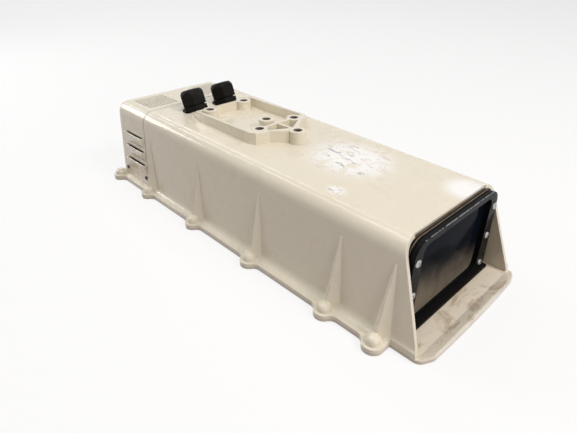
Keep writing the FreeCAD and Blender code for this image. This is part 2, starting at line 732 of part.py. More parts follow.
def housing_body():
    shell = casting_shell()
    ribs = [gusset(side, sign, boss) for side, sign in SIDES for boss in HOUSING_BOSSES]
    outside = fuse("casting_outside", [shell, mounting_pad(), gland_wedge()] + ribs)

    tools = [housing_cavity(), housing_mouth()]
    tools.append(rounded_hole("view_cut", "view_half-2", "view_low+2", "view_high-2", "view_corner-2",
                              "window_y-1", "front_wall+2"))
    for side, sign in SIDES:
        for boss in HOUSING_BOSSES:
            tools.append(cylinder(f"lid_thread_{side}_{boss}", "screw_thread+0.1", "screw_long+1",
                                  f"{sign}*boss_half", boss, "0"))
        for level in range(3):
            height = f"window_screw_low+{level}*window_screw_step"
            tools.append(cylinder(f"window_thread_{side}_{level}", "window_thread+0.1", "front_wall+2",
                                  f"{sign}*window_screw_half", "window_y-1", height, *ALONG_Y))
        seat = cylinder(f"gland_seat_{side}", "seat_radius", "40")
        bore = cylinder(f"gland_hole_{side}", "gland_thread+0.2", "60", z="-30")
        nut = cylinder(f"gland_spot_{side}", "seat_radius+1", "40", z="-gland_wall-40")
        tools.append(at_gland(fuse(f"gland_cuts_{side}", [seat, bore, nut]), sign))
    tools.append(cylinder("fan_way", "fan_bore-1.4", "bulkhead+2", "0", "cavity_rear-1", "fan_height", *ALONG_Y))
    for i, (x, z) in enumerate(fan_corners()):
        tools.append(cylinder(f"fan_thread_{i}", "small_thread+0.1", "bulkhead+2", x, "cavity_rear-1", z, *ALONG_Y))
    hollow = cut("casting_hollow", outside, fuse("casting_cuts", tools))

    posts = []
    for i, (x, y) in enumerate(sled_posts()):
        posts.append(post(f"sled_post_{i}", x, y, "sled_top+fit_gap", "post_radius"))
    for i, (x, y) in enumerate(board_corners()):
        posts.append(post(f"board_post_{i}", x, y, "board_top+standoff_high", "post_radius-1"))
    for side, sign in SIDES:
        posts.append(post(f"heater_post_{side}", f"{sign}*heater_half*0.6", "heater_y+heater_deep/2",
                          "heater_low+heater_high", "post_radius"))
    posts.append(post("thermostat_post", "board_x", "sled_y+20", "heater_low+heater_high", "thermostat_radius"))
    threads = []
    for i, (x, y) in enumerate(sled_posts()):
        threads.append(cylinder(f"sled_thread_{i}", "small_thread+0.1", "8", x, y, "sled_top-1"))
    for i, (x, y) in enumerate(board_corners()):
        threads.append(cylinder(f"board_thread_{i}", "small_thread+0.1", "5", x, y, "board_top+standoff_high-1"))
    for side, sign in SIDES:
        threads.append(cylinder(f"heater_thread_{side}", "small_thread+0.1", "5", f"{sign}*heater_half*0.6",
                                "heater_y+heater_deep/2", "heater_low+heater_high-1"))
    whole = fuse("casting_posts", [hollow] + posts)
    return node("housing_body", cut("casting", whole, fuse("post_threads", threads)))


def post(name, x, y, low, radius):
    """Round post cast on the inside of the top panel, down to the given height."""
    height = share("top_front", "top_rear", y) + f"-wall/2-({low})"
    return cylinder(name, radius, height, x, y, low)


def sled_posts():
    rows = ("sled_y+sled_post_in", "sled_y+sled_length-sled_post_in")
    return [(f"{sign}*sled_post_half", y) for side, sign in SIDES for y in rows]


def board_corners():
    return [(f"-board_x+{a}*(board_half-4)", f"board_y+board_length/2+{b}*(board_length/2-4)")
            for a in ("-1", "1") for b in ("-1", "1")]


def fan_corners():
    return [(f"{a}*fan_hole_half", f"fan_height+{b}*fan_hole_half") for a in ("-1", "1") for b in ("-1", "1")]


# Rear cover

def cover_section(inset, low):
    """Outline of the rear cover's outside or inside."""
    return mirror_points([(f"foot_rear-({inset})", low, None),
                          (f"head_rear-({inset})", f"top_rear-({inset})", f"edge_round-({inset})")])


def lean_rear(body, name, radius, rear):
    """Lean the rear wall forward towards its top, then round its side and upper edges."""
    sketch = sketch_on(body, name + "_outline", "YZ_Plane")
    high = "2*top_rear"
    polygon(sketch, [(f"{rear}+rear_lean*(2*lid_thick)", "-lid_thick"), (f"{rear}+20", "-lid_thick"),
                     (f"{rear}+20", high), (f"{rear}-rear_lean*({high}-lid_thick)", high)])
    pocket(body, name + "_cut", sketch, "4*foot_rear", both=True)
    at, slope, foot = num(rear), num("rear_lean"), num("lid_thick")

    def on_wall(point):
        return abs(point.y - (at - slope * (point.z - foot))) < 0.01

    fillet(body, name, radius,
           lambda e: all(on_wall(p) for p in ends(e)) and max(p.z for p in ends(e)) > foot + 3)


def cover_wall_at(z):
    return f"(foot_rear-wall_lean*(({z})-lid_thick))"


def rear_cover():
    body = new_body("cover_shell")
    outline = sketch_on(body, "cover_outline", "XZ_Plane", "-cover_front")
    rounded_outline(outline, cover_section("0", "lid_thick"))
    pad(body, "cover_pad", outline, "cover_rear-cover_front", reverse=True)
    lean_rear(body, "cover_rounds", "cover_round", "cover_rear")
    strip = sketch_on(body, "cover_flange_outline", "XY_Plane", "lid_thick")
    polygon(strip, [("-flange_half", "cover_front"), ("flange_half", "cover_front"),
                    ("flange_half", "cover_rear+cover_flange"), ("-flange_half", "cover_rear+cover_flange")])
    pad(body, "cover_flange_pad", strip, "flange_thick")
    ears = sketch_on(body, "cover_ears", "XY_Plane", "lid_thick")
    domes = sketch_on(body, "cover_domes", "XY_Plane", "lid_thick")
    for side, sign in SIDES:
        circle(ears, f"{sign}*boss_half", "boss_f", "ear_radius")
        circle(domes, f"{sign}*boss_half", "boss_f", "dome_radius")
    pad(body, "cover_ear_pad", ears, "flange_thick")
    blend_ears(body, "cover_ear_blends")
    pad(body, "cover_dome_pad", domes, "flange_thick+dome_height")
    crown = num("flange_top+dome_height")
    fillet(body, "cover_dome_rounds", "dome_round",
           lambda e: hasattr(e.Curve, "Radius") and abs(e.BoundBox.ZMin - crown) < 0.01
           and abs(e.BoundBox.ZMax - crown) < 0.01)

    scoops = []
    slots = []
    for side, sign in SIDES:
        for level in range(3):
            scoops.append(louvre(side, sign, level, "0"))
            slots.append(louvre(side, sign, level, "louvre_skin"))
    outside = fuse("cover_outside", [body] + scoops)

    hollow = new_body("cover_hollow")
    inner = sketch_on(hollow, "cover_inner", "XZ_Plane", "-(cover_front-1)")
    rounded_outline(inner, cover_section("cover_wall", "lid_thick-1"))
    pad(hollow, "cover_inner_pad", inner, "cover_rear-cover_wall-cover_front+1", reverse=True)
    lean_rear(hollow, "cover_inner_rounds", "cover_round-cover_wall", "cover_rear-cover_wall")
    tools = [hollow] + slots + grille_slots()
    for side, sign in SIDES:
        tools.append(cylinder(f"cover_thread_{side}", "screw_thread+0.1", "screw_long+1",
                              f"{sign}*boss_half", "boss_f", "0"))
        for i, y in enumerate(screen_screw_rows()):
            turn = "90" if sign == "1" else "-90"
            tools.append(cylinder(f"screen_hole_{side}_{i}", "small_thread+0.1", "10",
                                  f"{sign}*({cover_wall_at('side_screw_height')}-7)", y, "side_screw_height",
                                  (0, 1, 0), turn))
    return node("rear_cover", cut("cover", outside, fuse("cover_cuts", tools)))


def screen_screw_rows():
    return ("louvre_y+1", "louvre_y+louvre_length+5")


def louvre(side, sign, level, skin):
    """Scoop that opens upward in the picture; with a skin it is the hollow inside it."""
    top = f"louvre_top-{level}*louvre_step"
    wall_x = cover_wall_at(top)
    kind = "slot" if skin != "0" else "scoop"
    body = new_body(f"{kind}_{side}_{level}")
    start = "louvre_y" if skin != "0" else "louvre_y-1.5"
    length = "louvre_length" if skin != "0" else "louvre_length+3"
    sketch = sketch_on(body, f"{kind}_outline_{side}_{level}", "XZ_Plane", f"-({start})")
    if skin == "0":
        low_x = cover_wall_at(f"{top}-louvre_fall")
        points = [(f"{sign}*({wall_x}-1)", top), (f"{sign}*({wall_x}+louvre_lip)", top),
                  (f"{sign}*({wall_x}+louvre_lip)", f"{top}-1.5"),
                  (f"{sign}*({low_x}-0.2)", f"{top}-louvre_fall"), (f"{sign}*({low_x}-1)", f"{top}-louvre_fall")]
    else:
        low_x = cover_wall_at(f"{top}-louvre_fall*0.6")
        points = [(f"{sign}*({wall_x}-cover_wall-1)", f"{top}+0.1"), (f"{sign}*({wall_x}+louvre_lip-{skin})", f"{top}+0.1"),
                  (f"{sign}*({low_x}-0.3)", f"{top}-louvre_fall*0.6"),
                  (f"{sign}*({low_x}-cover_wall-1)", f"{top}-louvre_fall*0.6")]
    polygon(sketch, points)
    pad(body, f"{kind}_pad_{side}_{level}", sketch, length, reverse=True)
    slant = sketch_on(body, f"{kind}_slant_{side}_{level}", "XY_Plane", f"{top}-2*louvre_fall")
    inside, outside = f"{sign}*({wall_x}-1)", f"{sign}*({wall_x}+louvre_lip+1)"
    stop = f"{start}+{length}"
    polygon(slant, [(inside, start), (outside, f"{start}+louvre_taper"), (outside, f"{start}-1"), (inside, f"{start}-1")])
    polygon(slant, [(inside, stop), (outside, f"{stop}-louvre_taper"), (outside, f"{stop}+1"), (inside, f"{stop}+1")])
    pocket(body, f"{kind}_ends_{side}_{level}", slant, "3*louvre_fall", reverse=True)
    return body


def grille_slots():
    """Rows of slots through the top of the rear cover."""
    bodies = []
    for side, sign in SIDES:
        body = new_body(f"grille_{side}")
        sketch = sketch_on(body, f"grille_outline_{side}", "XY_Plane", "top_rear-cover_wall-1")
        polygon(sketch, [(f"{sign}*grille_start", "grille_y"), (f"{sign}*(grille_start+grille_slot)", "grille_y"),
                         (f"{sign}*(grille_start+grille_slot)", "grille_y+grille_length"),
                         (f"{sign}*grille_start", "grille_y+grille_length")])
        first = pad(body, f"grille_pad_{side}", sketch, "cover_wall+3")
        doc.recompute()
        row = body.newObject("PartDesign::LinearPattern", f"grille_row_{side}")
        row.Originals = [first]
        row.Direction = (sketch, ["H_Axis"])
        row.Reversed = sign == "-1"
        row.setExpression("Length", ex("grille_pitch*(grille_count-1)"))
        row.setExpression("Occurrences", ex("grille_count"))
        body.Tip = row
        bodies.append(body)
    return bodies


# Lid

def lid_outline(sketch):
    """Flange outline with a bowed front edge; the last edge is an arc."""
    bowed(sketch, mirror_points(lip_corner() + [("flange_front_half", "step_y"), ("flange_half", "step_y"),
                                                ("flange_half", "cover_rear+cover_flange")]), "front_y-lip_reach")


def lip_corner():
    """Slanted right front corner of the lid."""
    near = "front_y-lip_reach+lip_bow"
    return [("flange_front_half-lip_chamfer_wide", near), ("flange_front_half", f"{near}+lip_chamfer_long")]


def bowed(sketch, points, middle):
    """Outline whose closing edge, from the last point to the first, bows out to y = middle."""
    places = [vector(num(x), num(y), 0) for x, y in points]
    last = len(points) - 1
    for i in range(last):
        sketch.addGeometry(Part.LineSegment(places[i], places[i + 1]), False)
    arc = Part.Arc(places[last], vector(0, num(middle), 0), places[0])
    sketch.addGeometry(arc, False)
    for i in range(last - 1):
        sketch.addConstraint(Sketcher.Constraint("Coincident", i, 2, i + 1, 1))
    low_first = sketch.Geometry[last].StartPoint.x < 0
    sketch.addConstraint(Sketcher.Constraint("Coincident", last - 1, 2, last, 1 if low_first else 2))
    sketch.addConstraint(Sketcher.Constraint("Coincident", 0, 1, last, 2 if low_first else 1))
    for i in range(last):
        bind_point(sketch, i, 1, points[i])
    bind_point(sketch, last - 1, 2, points[last])
    half = points[0][0]
    bow = f"({points[0][1]}-({middle}))"
    radius = f"(({half})*({half})+{bow}*{bow})/(2*{bow})"
    number = sketch.addConstraint(Sketcher.Constraint("Radius", last, num(radius)))
    sketch.setExpression(f"Constraints[{number}]", ex(radius))


ALL_BOSSES = HOUSING_BOSSES + ["boss_f"]


def sun_lid():
    """Lid plate that reaches out ahead of the window, with a raised front lip."""
    body = new_body("lid_plate")
    outline = sketch_on(body, "lid_outline", "XY_Plane", "0")
    lid_outline(outline)
    pad(body, "lid_pad", outline, "lid_thick")
    lip = sketch_on(body, "lip_outline", "XY_Plane", "lid_thick")
    bowed(lip, mirror_points(lip_corner() + [("flange_front_half", "front_y-fit_gap")]), "front_y-lip_reach")
    pad(body, "lip_pad", lip, "lip_rise")
    ramp = sketch_on(body, "ramp_outline", "YZ_Plane", "0")
    crest = "front_y-lip_reach+lip_crest"
    polygon(ramp, [(crest, "lid_thick+lip_rise"), (f"{crest}+lip_ramp", "lid_thick"),
                   ("front_y+5", "lid_thick"), ("front_y+5", "2*flange_top"), (crest, "2*flange_top")])
    pocket(body, "ramp_cut", ramp, "4*flange_half", both=True)
    corners = [(num(x), num(y)) for x, y in lip_corner()]
    fillet(body, "lid_corners", "lid_corner",
           lambda e: runs_along(e, 2, 1) and any(abs(ends(e)[0].y - y) < 0.05 and abs(abs(ends(e)[0].x) - x) < 0.05
                                                 for x, y in corners))
    ears = sketch_on(body, "lid_ears", "XY_Plane", "0")
    for side, sign in SIDES:
        for boss in ALL_BOSSES:
            circle(ears, f"{sign}*boss_half", boss, "ear_radius")
    pad(body, "lid_ear_pad", ears, "lid_thick")
    blend_ears(body, "lid_ear_blends")

    tools = [gasket_ring("gasket_groove")]
    for side, sign in SIDES:
        for boss in ALL_BOSSES:
            name = f"{side}_{boss}"
            shaft = cylinder(f"lid_hole_{name}", "screw_thread+0.3", "lid_thick+1", f"{sign}*boss_half", boss, "-0.5")
            sink = cone(f"lid_sink_{name}", "screw_head+0.3", "screw_thread+0.3", "screw_head-screw_thread",
                        f"{sign}*boss_half", boss, "0")
            tools += [shaft, sink]
    return node("sun_lid", cut("lid", body, fuse("lid_cuts", tools)))


def gasket_ring(name):
    """Ring that runs under the casting's walls, in the lid's groove."""
    bodies = []
    for kind, inset, low, high in (("outer", "-seal_wide/2", "0", "seal_deep"),
                                   ("inner", "seal_wide/2", "-1", "seal_deep+2")):
        body = new_body(f"{name}_{kind}")
        sketch = sketch_on(body, f"{name}_{kind}_outline", "XY_Plane", f"lid_thick-seal_deep+({low})")
        front = f"window_y+front_wall/2+({inset})"
        rear = f"seam_y-bulkhead/2-({inset})"
        polygon(sketch, [(f"foot_front-1.2-({inset})", front), (f"foot_rear-1.2-({inset})", rear),
                         (f"-(foot_rear-1.2-({inset}))", rear), (f"-(foot_front-1.2-({inset}))", front)])
        pad(body, f"{name}_{kind}_pad", sketch, high)
        bodies.append(body)
    return cut(name, bodies[0], bodies[1])


def lid_screws():
    screws = []
    for side, sign in SIDES:
        for boss in ALL_BOSSES:
            name = f"{side}_{boss}"
            x = f"{sign}*boss_half"
            shank = cylinder(f"shank_{name}", "screw_thread", "screw_long-0.2", x, boss, "0.3")
            head = cone(f"head_{name}", "screw_head", "screw_thread", "screw_head-screw_thread", x, boss, "0.25")
            drive = hexagon(f"drive_{name}", "3", "2", "-0.5")
            place(drive, x, boss, "-0.5")
            screws.append(cut(f"lid_screw_{name}", fuse(f"screw_solid_{name}", [shank, head]), drive))
    return node("lid_screws", group("lid_screw_set", screws))


# Window

def bezel_points(inset="0"):
    """Right half of the trapezoidal window outline."""
    return mirror_points([(f"bezel_foot-({inset})", f"bezel_low+({inset})", "bezel_corner_low"),
                          (f"bezel_head-({inset})", f"bezel_high-({inset})", "bezel_corner")])


def window_ring(name, y, thick, inset, opening_extra="0"):
    outer = plate(name + "_outer", bezel_points(inset), y, thick)
    inner = rounded_hole(name + "_opening", f"view_half+({opening_extra})", f"view_low-({opening_extra})",
                         f"view_high+({opening_extra})", "view_corner", f"{y}-1", f"{thick}+2")
    tools = [inner]
    for side, sign in SIDES:
        for level in range(3):
            tools.append(cylinder(f"{name}_hole_{side}_{level}", "window_thread+0.2", f"{thick}+2",
                                  f"{sign}*window_screw_half", f"{y}-1",
                                  f"window_screw_low+{level}*window_screw_step", *ALONG_Y))
    return outer, fuse(name + "_cuts", tools)


def window_parts():
    outer, tools = window_ring("bezel", "bezel_y", "bezel_thick", "0")
    node("window_bezel", cut("bezel_cut", outer, tools))
    outer, tools = window_ring("front_gasket", "bezel_y+bezel_thick", "bezel_gasket", "0.8")
    node("bezel_gasket", cut("front_gasket_cut", outer, tools))
    outer, tools = window_ring("spacer", "glass_y", "spacer_thick", "0.3", "glass_edge+fit_gap")
    node("window_spacer", cut("spacer_cut", outer, tools))
    glass = rounded_hole("glass_plate", "view_half+glass_edge", "view_low-glass_edge", "view_high+glass_edge",
                         "view_corner", "glass_y", "glass_thick")
    node("window_glass", glass)
    outer = rounded_hole("glass_gasket_outer", "view_half+glass_edge", "view_low-glass_edge",
                         "view_high+glass_edge", "view_corner", "glass_y+glass_thick", "glass_gasket")
    inner = rounded_hole("glass_gasket_inner", "view_half-2", "view_low+2", "view_high-2", "view_corner-2",
                         "glass_y+glass_thick-1", "glass_gasket+2")
    node("glass_gasket", cut("glass_gasket_cut", outer, inner))
    sill = box("sill", ("2*(bezel_foot-2)", "sill_deep", "sill_high"),
               "-(bezel_foot-2)", "bezel_y-sill_deep", "lid_thick")
    node("window_sill_seal", sill)

    screws = []
    for side, sign in SIDES:
        for level in range(3):
            name = f"{side}_{level}"
            x = f"{sign}*window_screw_half"
            z = f"window_screw_low+{level}*window_screw_step"
            shank = cylinder(f"window_shank_{name}", "window_thread", "bezel_thick+bezel_gasket+spacer_thick+front_wall-0.5",
                             x, "bezel_y", z, *ALONG_Y)
            head = cylinder(f"window_head_{name}", "window_head", "window_head_high", x, "bezel_y", z, *TOWARD_FRONT)
            screws.append(fuse(f"window_screw_{name}", [shank, head]))
    node("window_screws", group("window_screw_set", screws))


# Cable glands, each made along its own axis and then stood on its seat

def glands():
    for side, sign in SIDES:
        flange = cylinder(f"washer_disc_{side}", "gland_flats/2-0.3", "1.5")
        hole = cylinder(f"washer_hole_{side}", "gland_thread+0.2", "3", z="-1")
        node(f"gland_washer_{side}", at_gland(cut(f"gland_washer_cut_{side}", flange, hole), sign))

        base = hexagon(f"gland_base_{side}", "gland_flats", "5", "1.5")
        lower = cylinder(f"gland_lower_{side}", "gland_thread", "gland_wall+7+1.5", z="-gland_wall-7")
        upper = cylinder(f"gland_upper_{side}", "gland_nut_bore-0.3", "11", z="6.5")
        bore = cylinder(f"gland_way_{side}", "gland_bore", "40", z="-20")
        body = fuse(f"gland_solid_{side}", [base, lower, upper])
        node(f"gland_body_{side}", at_gland(cut(f"gland_body_cut_{side}", body, bore), sign))

        prism = hexagon(f"nut_prism_{side}", "gland_flats", "18", "8")
        dome = turned(f"nut_dome_{side}", [("0", "7", None), ("gland_flats/2/cos(30)+1", "7", None),
                                           ("gland_flats/2/cos(30)+0.2", "19", "6"), ("gland_flats/2-2", "26", "3"),
                                           ("0", "26", None)])
        inside = cylinder(f"nut_inside_{side}", "gland_nut_bore", "15", z="3.2")
        mouth = cylinder(f"nut_mouth_{side}", "gland_cable", "20", z="12")
        shaped = common(f"nut_shaped_{side}", prism, dome)
        nut = cut(f"gland_nut_cut_{side}", shaped, fuse(f"nut_cuts_{side}", [inside, mouth]))
        node(f"gland_nut_{side}", at_gland(nut, sign))

        ring = cylinder(f"seal_ring_{side}", "gland_bore-0.05", "8", z="9.4")
        way = cylinder(f"seal_way_{side}", "gland_bore-3", "12", z="8")
        node(f"gland_seal_{side}", at_gland(cut(f"gland_seal_cut_{side}", ring, way), sign))

        prism = hexagon(f"locknut_prism_{side}", "gland_flats", "4.5", "-gland_wall-4.5")
        hole = cylinder(f"locknut_hole_{side}", "gland_thread+0.1", "10", z="-gland_wall-8")
        node(f"gland_locknut_{side}", at_gland(cut(f"gland_locknut_cut_{side}", prism, hole), sign))


# Inside pieces

def fan():
    """Square fan on the bulkhead; its axis runs along Y."""
    half = "fan_side/2"
    frame = rounded_hole("fan_block", half, "fan_height-fan_side/2", "fan_height+fan_side/2", "4", "seam_y", "fan_thick")
    way = cylinder("fan_air", "fan_bore", "fan_thick+2", "0", "seam_y-1", "fan_height", *ALONG_Y)
    holes = [cylinder(f"fan_hole_{i}", "small_thread+0.3", "fan_thick+2", x, "seam_y-1", z, *ALONG_Y)
             for i, (x, z) in enumerate(fan_corners())]
    ring = cut("fan_ring", frame, fuse("fan_cuts", [way] + holes))
    disc = cylinder("fan_motor_disc", "fan_hub-1.5", "2", "0", "seam_y", "fan_height", *ALONG_Y)
    struts = [box("fan_strut_a", ("2*fan_bore+1", "2", "3"), "-fan_bore-0.5", "seam_y", "fan_height-1.5"),
              box("fan_strut_b", ("3", "2", "2*fan_bore+1"), "-1.5", "seam_y", "fan_height-fan_bore-0.5")]
    tube = cylinder("fan_tube", "fan_shaft+2.5", "7", "0", "seam_y+2", "fan_height", *ALONG_Y)
    bearing = cylinder("fan_bearing", "fan_shaft+fan_play", "11", "0", "seam_y+1", "fan_height", *ALONG_Y)
    solid = fuse("fan_solid", [ring, disc, tube] + struts)
    node("fan_frame", cut("fan_frame_cut", solid, bearing))

    cup = cylinder("hub_cup", "fan_hub", "fan_thick-4", "0", "seam_y+3", "fan_height", *ALONG_Y)
    hollow = cylinder("hub_hollow", "fan_hub-1.6", "fan_thick-6", "0", "seam_y+2.5", "fan_height", *ALONG_Y)
    shaft = cylinder("hub_shaft", "fan_shaft", "fan_thick-7", "0", "seam_y+3.5", "fan_height", *ALONG_Y)
    blades = []
    count = int(num("fan_blades"))
    for i in range(count):
        blades.append(blade(i, 360.0 * i / count))
    sweep = cylinder("blade_sweep", "fan_blade", "fan_thick-4.5", "0", "seam_y+3.2", "fan_height", *ALONG_Y)
    core = cylinder("blade_core", "fan_hub-0.8", "fan_thick", "0", "seam_y", "fan_height", *ALONG_Y)
    vanes = cut("fan_vanes", common("fan_blades_round", fuse("fan_blade_set", blades), sweep), core)
    node("fan_rotor", fuse("fan_rotor_solid", [cut("fan_hub_cut", cup, hollow), shaft, vanes]))

    screws = []
    for i, (x, z) in enumerate(fan_corners()):
        shank = cylinder(f"fan_shank_{i}", "small_thread", "fan_thick+bulkhead-0.5", x, "seam_y-bulkhead+0.5", z, *ALONG_Y)
        head = cylinder(f"fan_head_{i}", "small_head", "small_head_high", x, "seam_y+fan_thick", z, *ALONG_Y)
        screws.append(fuse(f"fan_screw_{i}", [shank, head]))
    node("fan_screws", group("fan_screw_set", screws))


def blade(index, turn):
    """Sloped blade: a thin block set at the blade pitch, swung round the shaft."""
    block = doc.addObject("Part::Box", f"blade_{index}")
    block.setExpression("Length", ex("1.2"))
    block.setExpression("Width", ex("fan_thick*1.15"))
    block.setExpression("Height", ex("fan_blade+2"))
    tilt = FreeCAD.Placement(vector(0, 0, 0), FreeCAD.Rotation(vector(0, 0, 1), num("fan_blade_pitch")))
    centre = FreeCAD.Placement(vector(-0.6, -num("fan_thick*1.15/2"), 0), FreeCAD.Rotation())
    swing = FreeCAD.Placement(vector(0, num("seam_y+3+(fan_thick-4)/2"), num("fan_height")),
                              FreeCAD.Rotation(vector(0, 1, 0), turn))
    block.Placement = swing.multiply(tilt).multiply(centre)
    return block


def sled():
    """Sheet plate that carries the camera, hung on four posts through long slots."""
    sheet_metal = box("sled_sheet", ("2*sled_half", "sled_length", "sled_thick"),
                      "-sled_half", "sled_y", "sled_top-sled_thick")
    edges = [box(f"sled_edge_{side}", ("sled_thick", "sled_length", "10"),
                 f"{sign}*(sled_half-sled_thick/2)-sled_thick/2", "sled_y", "sled_top-10") for side, sign in SIDES]
    slots = []
    for i, (x, y) in enumerate(sled_posts()):
        slots.append(box(f"sled_slot_{i}", ("2*(small_thread+fit_gap)", "2*(sled_travel+small_thread+fit_gap)", "10"),
                         f"{x}-small_thread-fit_gap", f"{y}-sled_travel-small_thread-fit_gap", "sled_top-5"))
    slots.append(box("sled_camera_slot", ("7", "sled_length*0.45", "10"), "-3.5", "sled_y+sled_length*0.28", "sled_top-5"))
    node("camera_sled", cut("sled_cut", fuse("sled_solid", [sheet_metal] + edges), fuse("sled_cuts", slots)))

    screws = []
    for i, (x, y) in enumerate(sled_posts()):
        shank = cylinder(f"sled_shank_{i}", "small_thread", "sled_thick+fit_gap*2+6", x, y, "sled_top-sled_thick-fit_gap")
        head = cylinder(f"sled_head_{i}", "small_head+1", "small_head_high", x, y,
                        "sled_top-sled_thick-fit_gap-small_head_high")
        screws.append(fuse(f"sled_screw_{i}", [shank, head]))
    node("sled_screws", group("sled_screw_set", screws))

    thread = cylinder("camera_thread", "3.1", "6", "0", "sled_y+sled_length/2", "sled_top-sled_thick-6")
    shank = cylinder("camera_shank", "3.1", "sled_thick+1", "0", "sled_y+sled_length/2", "sled_top-sled_thick-0.5")
    collar = cylinder("camera_collar", "6", "1.5", "0", "sled_y+sled_length/2", "sled_top-sled_thick-1.5")
    knob = cylinder("camera_knob", "7", "4", "0", "sled_y+sled_length/2", "sled_top")
    node("camera_screw", fuse("camera_screw_solid", [thread, shank, collar, knob]))


def electronics():
    """Power board on standoffs, terminal block, window heater and thermostat."""
    board = box("board_sheet", ("2*board_half", "board_length", "board_thick"),
                "-board_x-board_half", "board_y", "board_top-board_thick")
    holes = [cylinder(f"board_hole_{i}", "small_thread+0.2", "10", x, y, "board_top-5")
             for i, (x, y) in enumerate(board_corners())]
    node("power_board", cut("board_cut", board, fuse("board_cuts", holes)))
    standoffs = []
    screws = []
    for i, (x, y) in enumerate(board_corners()):
        pillar = cylinder(f"pillar_{i}", "3", "standoff_high", x, y, "board_top")
        way = cylinder(f"pillar_way_{i}", "small_thread+0.1", "standoff_high+2", x, y, "board_top-1")
        standoffs.append(cut(f"standoff_{i}", pillar, way))
        shank = cylinder(f"board_shank_{i}", "small_thread", "board_thick+standoff_high+3.5", x, y, "board_top-board_thick")
        head = cylinder(f"board_head_{i}", "small_head", "small_head_high", x, y, "board_top-board_thick-small_head_high")
        screws.append(fuse(f"board_screw_{i}", [shank, head]))
    node("board_standoffs", group("standoff_set", standoffs))
    node("board_screws", group("board_screw_set", screws))

    block = box("terminal_solid", ("2*board_half-12", "9", "10"), "-board_x-board_half+6",
                "board_y+board_length-24", "board_top-board_thick-10")
    ways = []
    for i in range(4):
        ways.append(cylinder(f"terminal_way_{i}", "1.6", "6", f"-board_x-board_half+6+(2*board_half-12)*({i}+0.5)/4",
                             "board_y+board_length-26", "board_top-board_thick-5", *ALONG_Y))
    node("terminal_block", cut("terminal_cut", block, fuse("terminal_cuts", ways)))
    node("power_module", box("module_solid", ("2*board_half-10", "34", "13"), "-board_x-board_half+5",
                             "board_y+16", "board_top-board_thick-13"))

    block = box("heater_solid", ("2*heater_half", "heater_deep", "heater_high"), "-heater_half", "heater_y", "heater_low")
    grooves = [box(f"heater_groove_{i}", ("2*heater_half+2", "1.4", "heater_high*0.55"), "-heater_half-1",
                   f"heater_y+1.4+{i}*2.8", "heater_low-0.01") for i in range(4)]
    ways = [cylinder(f"heater_way_{side}", "small_thread+0.2", "20", f"{sign}*heater_half*0.6",
                     "heater_y+heater_deep/2", "heater_low-5") for side, sign in SIDES]
    node("window_heater", cut("heater_cut", block, fuse("heater_cuts", grooves + ways)))
    screws = []
    for side, sign in SIDES:
        x = f"{sign}*heater_half*0.6"
        y = "heater_y+heater_deep/2"
        shank = cylinder(f"heater_shank_{side}", "small_thread", "heater_high+3.5", x, y, "heater_low")
        head = cylinder(f"heater_head_{side}", "small_head", "small_head_high", x, y, "heater_low-small_head_high")
        screws.append(fuse(f"heater_screw_{side}", [shank, head]))
    node("heater_screws", group("heater_screw_set", screws))
    node("thermostat", cylinder("thermostat_can", "thermostat_radius-0.5", "thermostat_high", "board_x", "sled_y+20",
                                "heater_low+heater_high-thermostat_high"))


def screens():
    """Mesh sheets behind the louvres and under the grille, and their screws."""
    lean = math.degrees(math.atan(num("wall_lean")))
    for side, sign in SIDES:
        mesh = box(f"screen_sheet_{side}", ("1", "louvre_length+12", "64"))
        inner = f"({cover_wall_at('10')}-cover_wall-0.2)"
        turn = -lean if sign == "1" else lean
        shift = "-1" if sign == "1" else "0"
        place(mesh, f"{sign}*{inner}+({shift})", "louvre_y-4", "10", (0, 1, 0), str(turn))
        holes = [cylinder(f"screen_clear_{side}_{i}", "small_thread+fit_gap", "12",
                          f"{sign}*({cover_wall_at('side_screw_height')}-10)", y, "side_screw_height",
                          (0, 1, 0), "90" if sign == "1" else "-90") for i, y in enumerate(screen_screw_rows())]
        node(f"screen_{side}", cut(f"screen_cut_{side}", mesh, fuse(f"screen_holes_{side}", holes)))
    node("screen_top", box("screen_top_sheet", ("2*(grille_start+grille_pitch*grille_count)", "grille_length+6", "1"),
                           "-(grille_start+grille_pitch*grille_count)", "grille_y-3", "top_rear-cover_wall-1"))
    screws = []
    for side, sign in SIDES:
        for i, y in enumerate(screen_screw_rows()):
            turn = "90" if sign == "1" else "-90"
            face = cover_wall_at("side_screw_height")
            shank = cylinder(f"screen_shank_{side}_{i}", "small_thread", "cover_wall+4.4",
                             f"{sign}*({face}-cover_wall-4)", y, "side_screw_height", (0, 1, 0), turn)
            head = cylinder(f"screen_head_{side}_{i}", "small_head-0.6", "1.2", f"{sign}*({face}+0.3)", y,
                            "side_screw_height", (0, 1, 0), turn)
            screws.append(fuse(f"screen_screw_{side}_{i}", [shank, head]))
    node("screen_screws", group("screen_screw_set", screws))


housing_body()
rear_cover()
sun_lid()
node("lid_gasket", gasket_ring("lid_seal"))
lid_screws()
window_parts()
glands()
fan()
sled()
electronics()
screens()
doc.recompute()

for thing in doc.Objects:
    if "Invalid" in thing.State or "Error" in thing.State:
        raise RuntimeError("failed object " + thing.Name)
for name, thing in nodes.items():
    if thing.Shape.isNull() or not thing.Shape.isValid() or not thing.Shape.Solids:
        raise RuntimeError("bad shape " + name)

os.makedirs("parts", exist_ok=True)
for name, thing in nodes.items():
    thing.Shape.exportStep(f"parts/{name}.step")
print(len(nodes), "sub-parts written")
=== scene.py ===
import math
import random

import bmesh
import bpy
from mathutils import Matrix, Vector


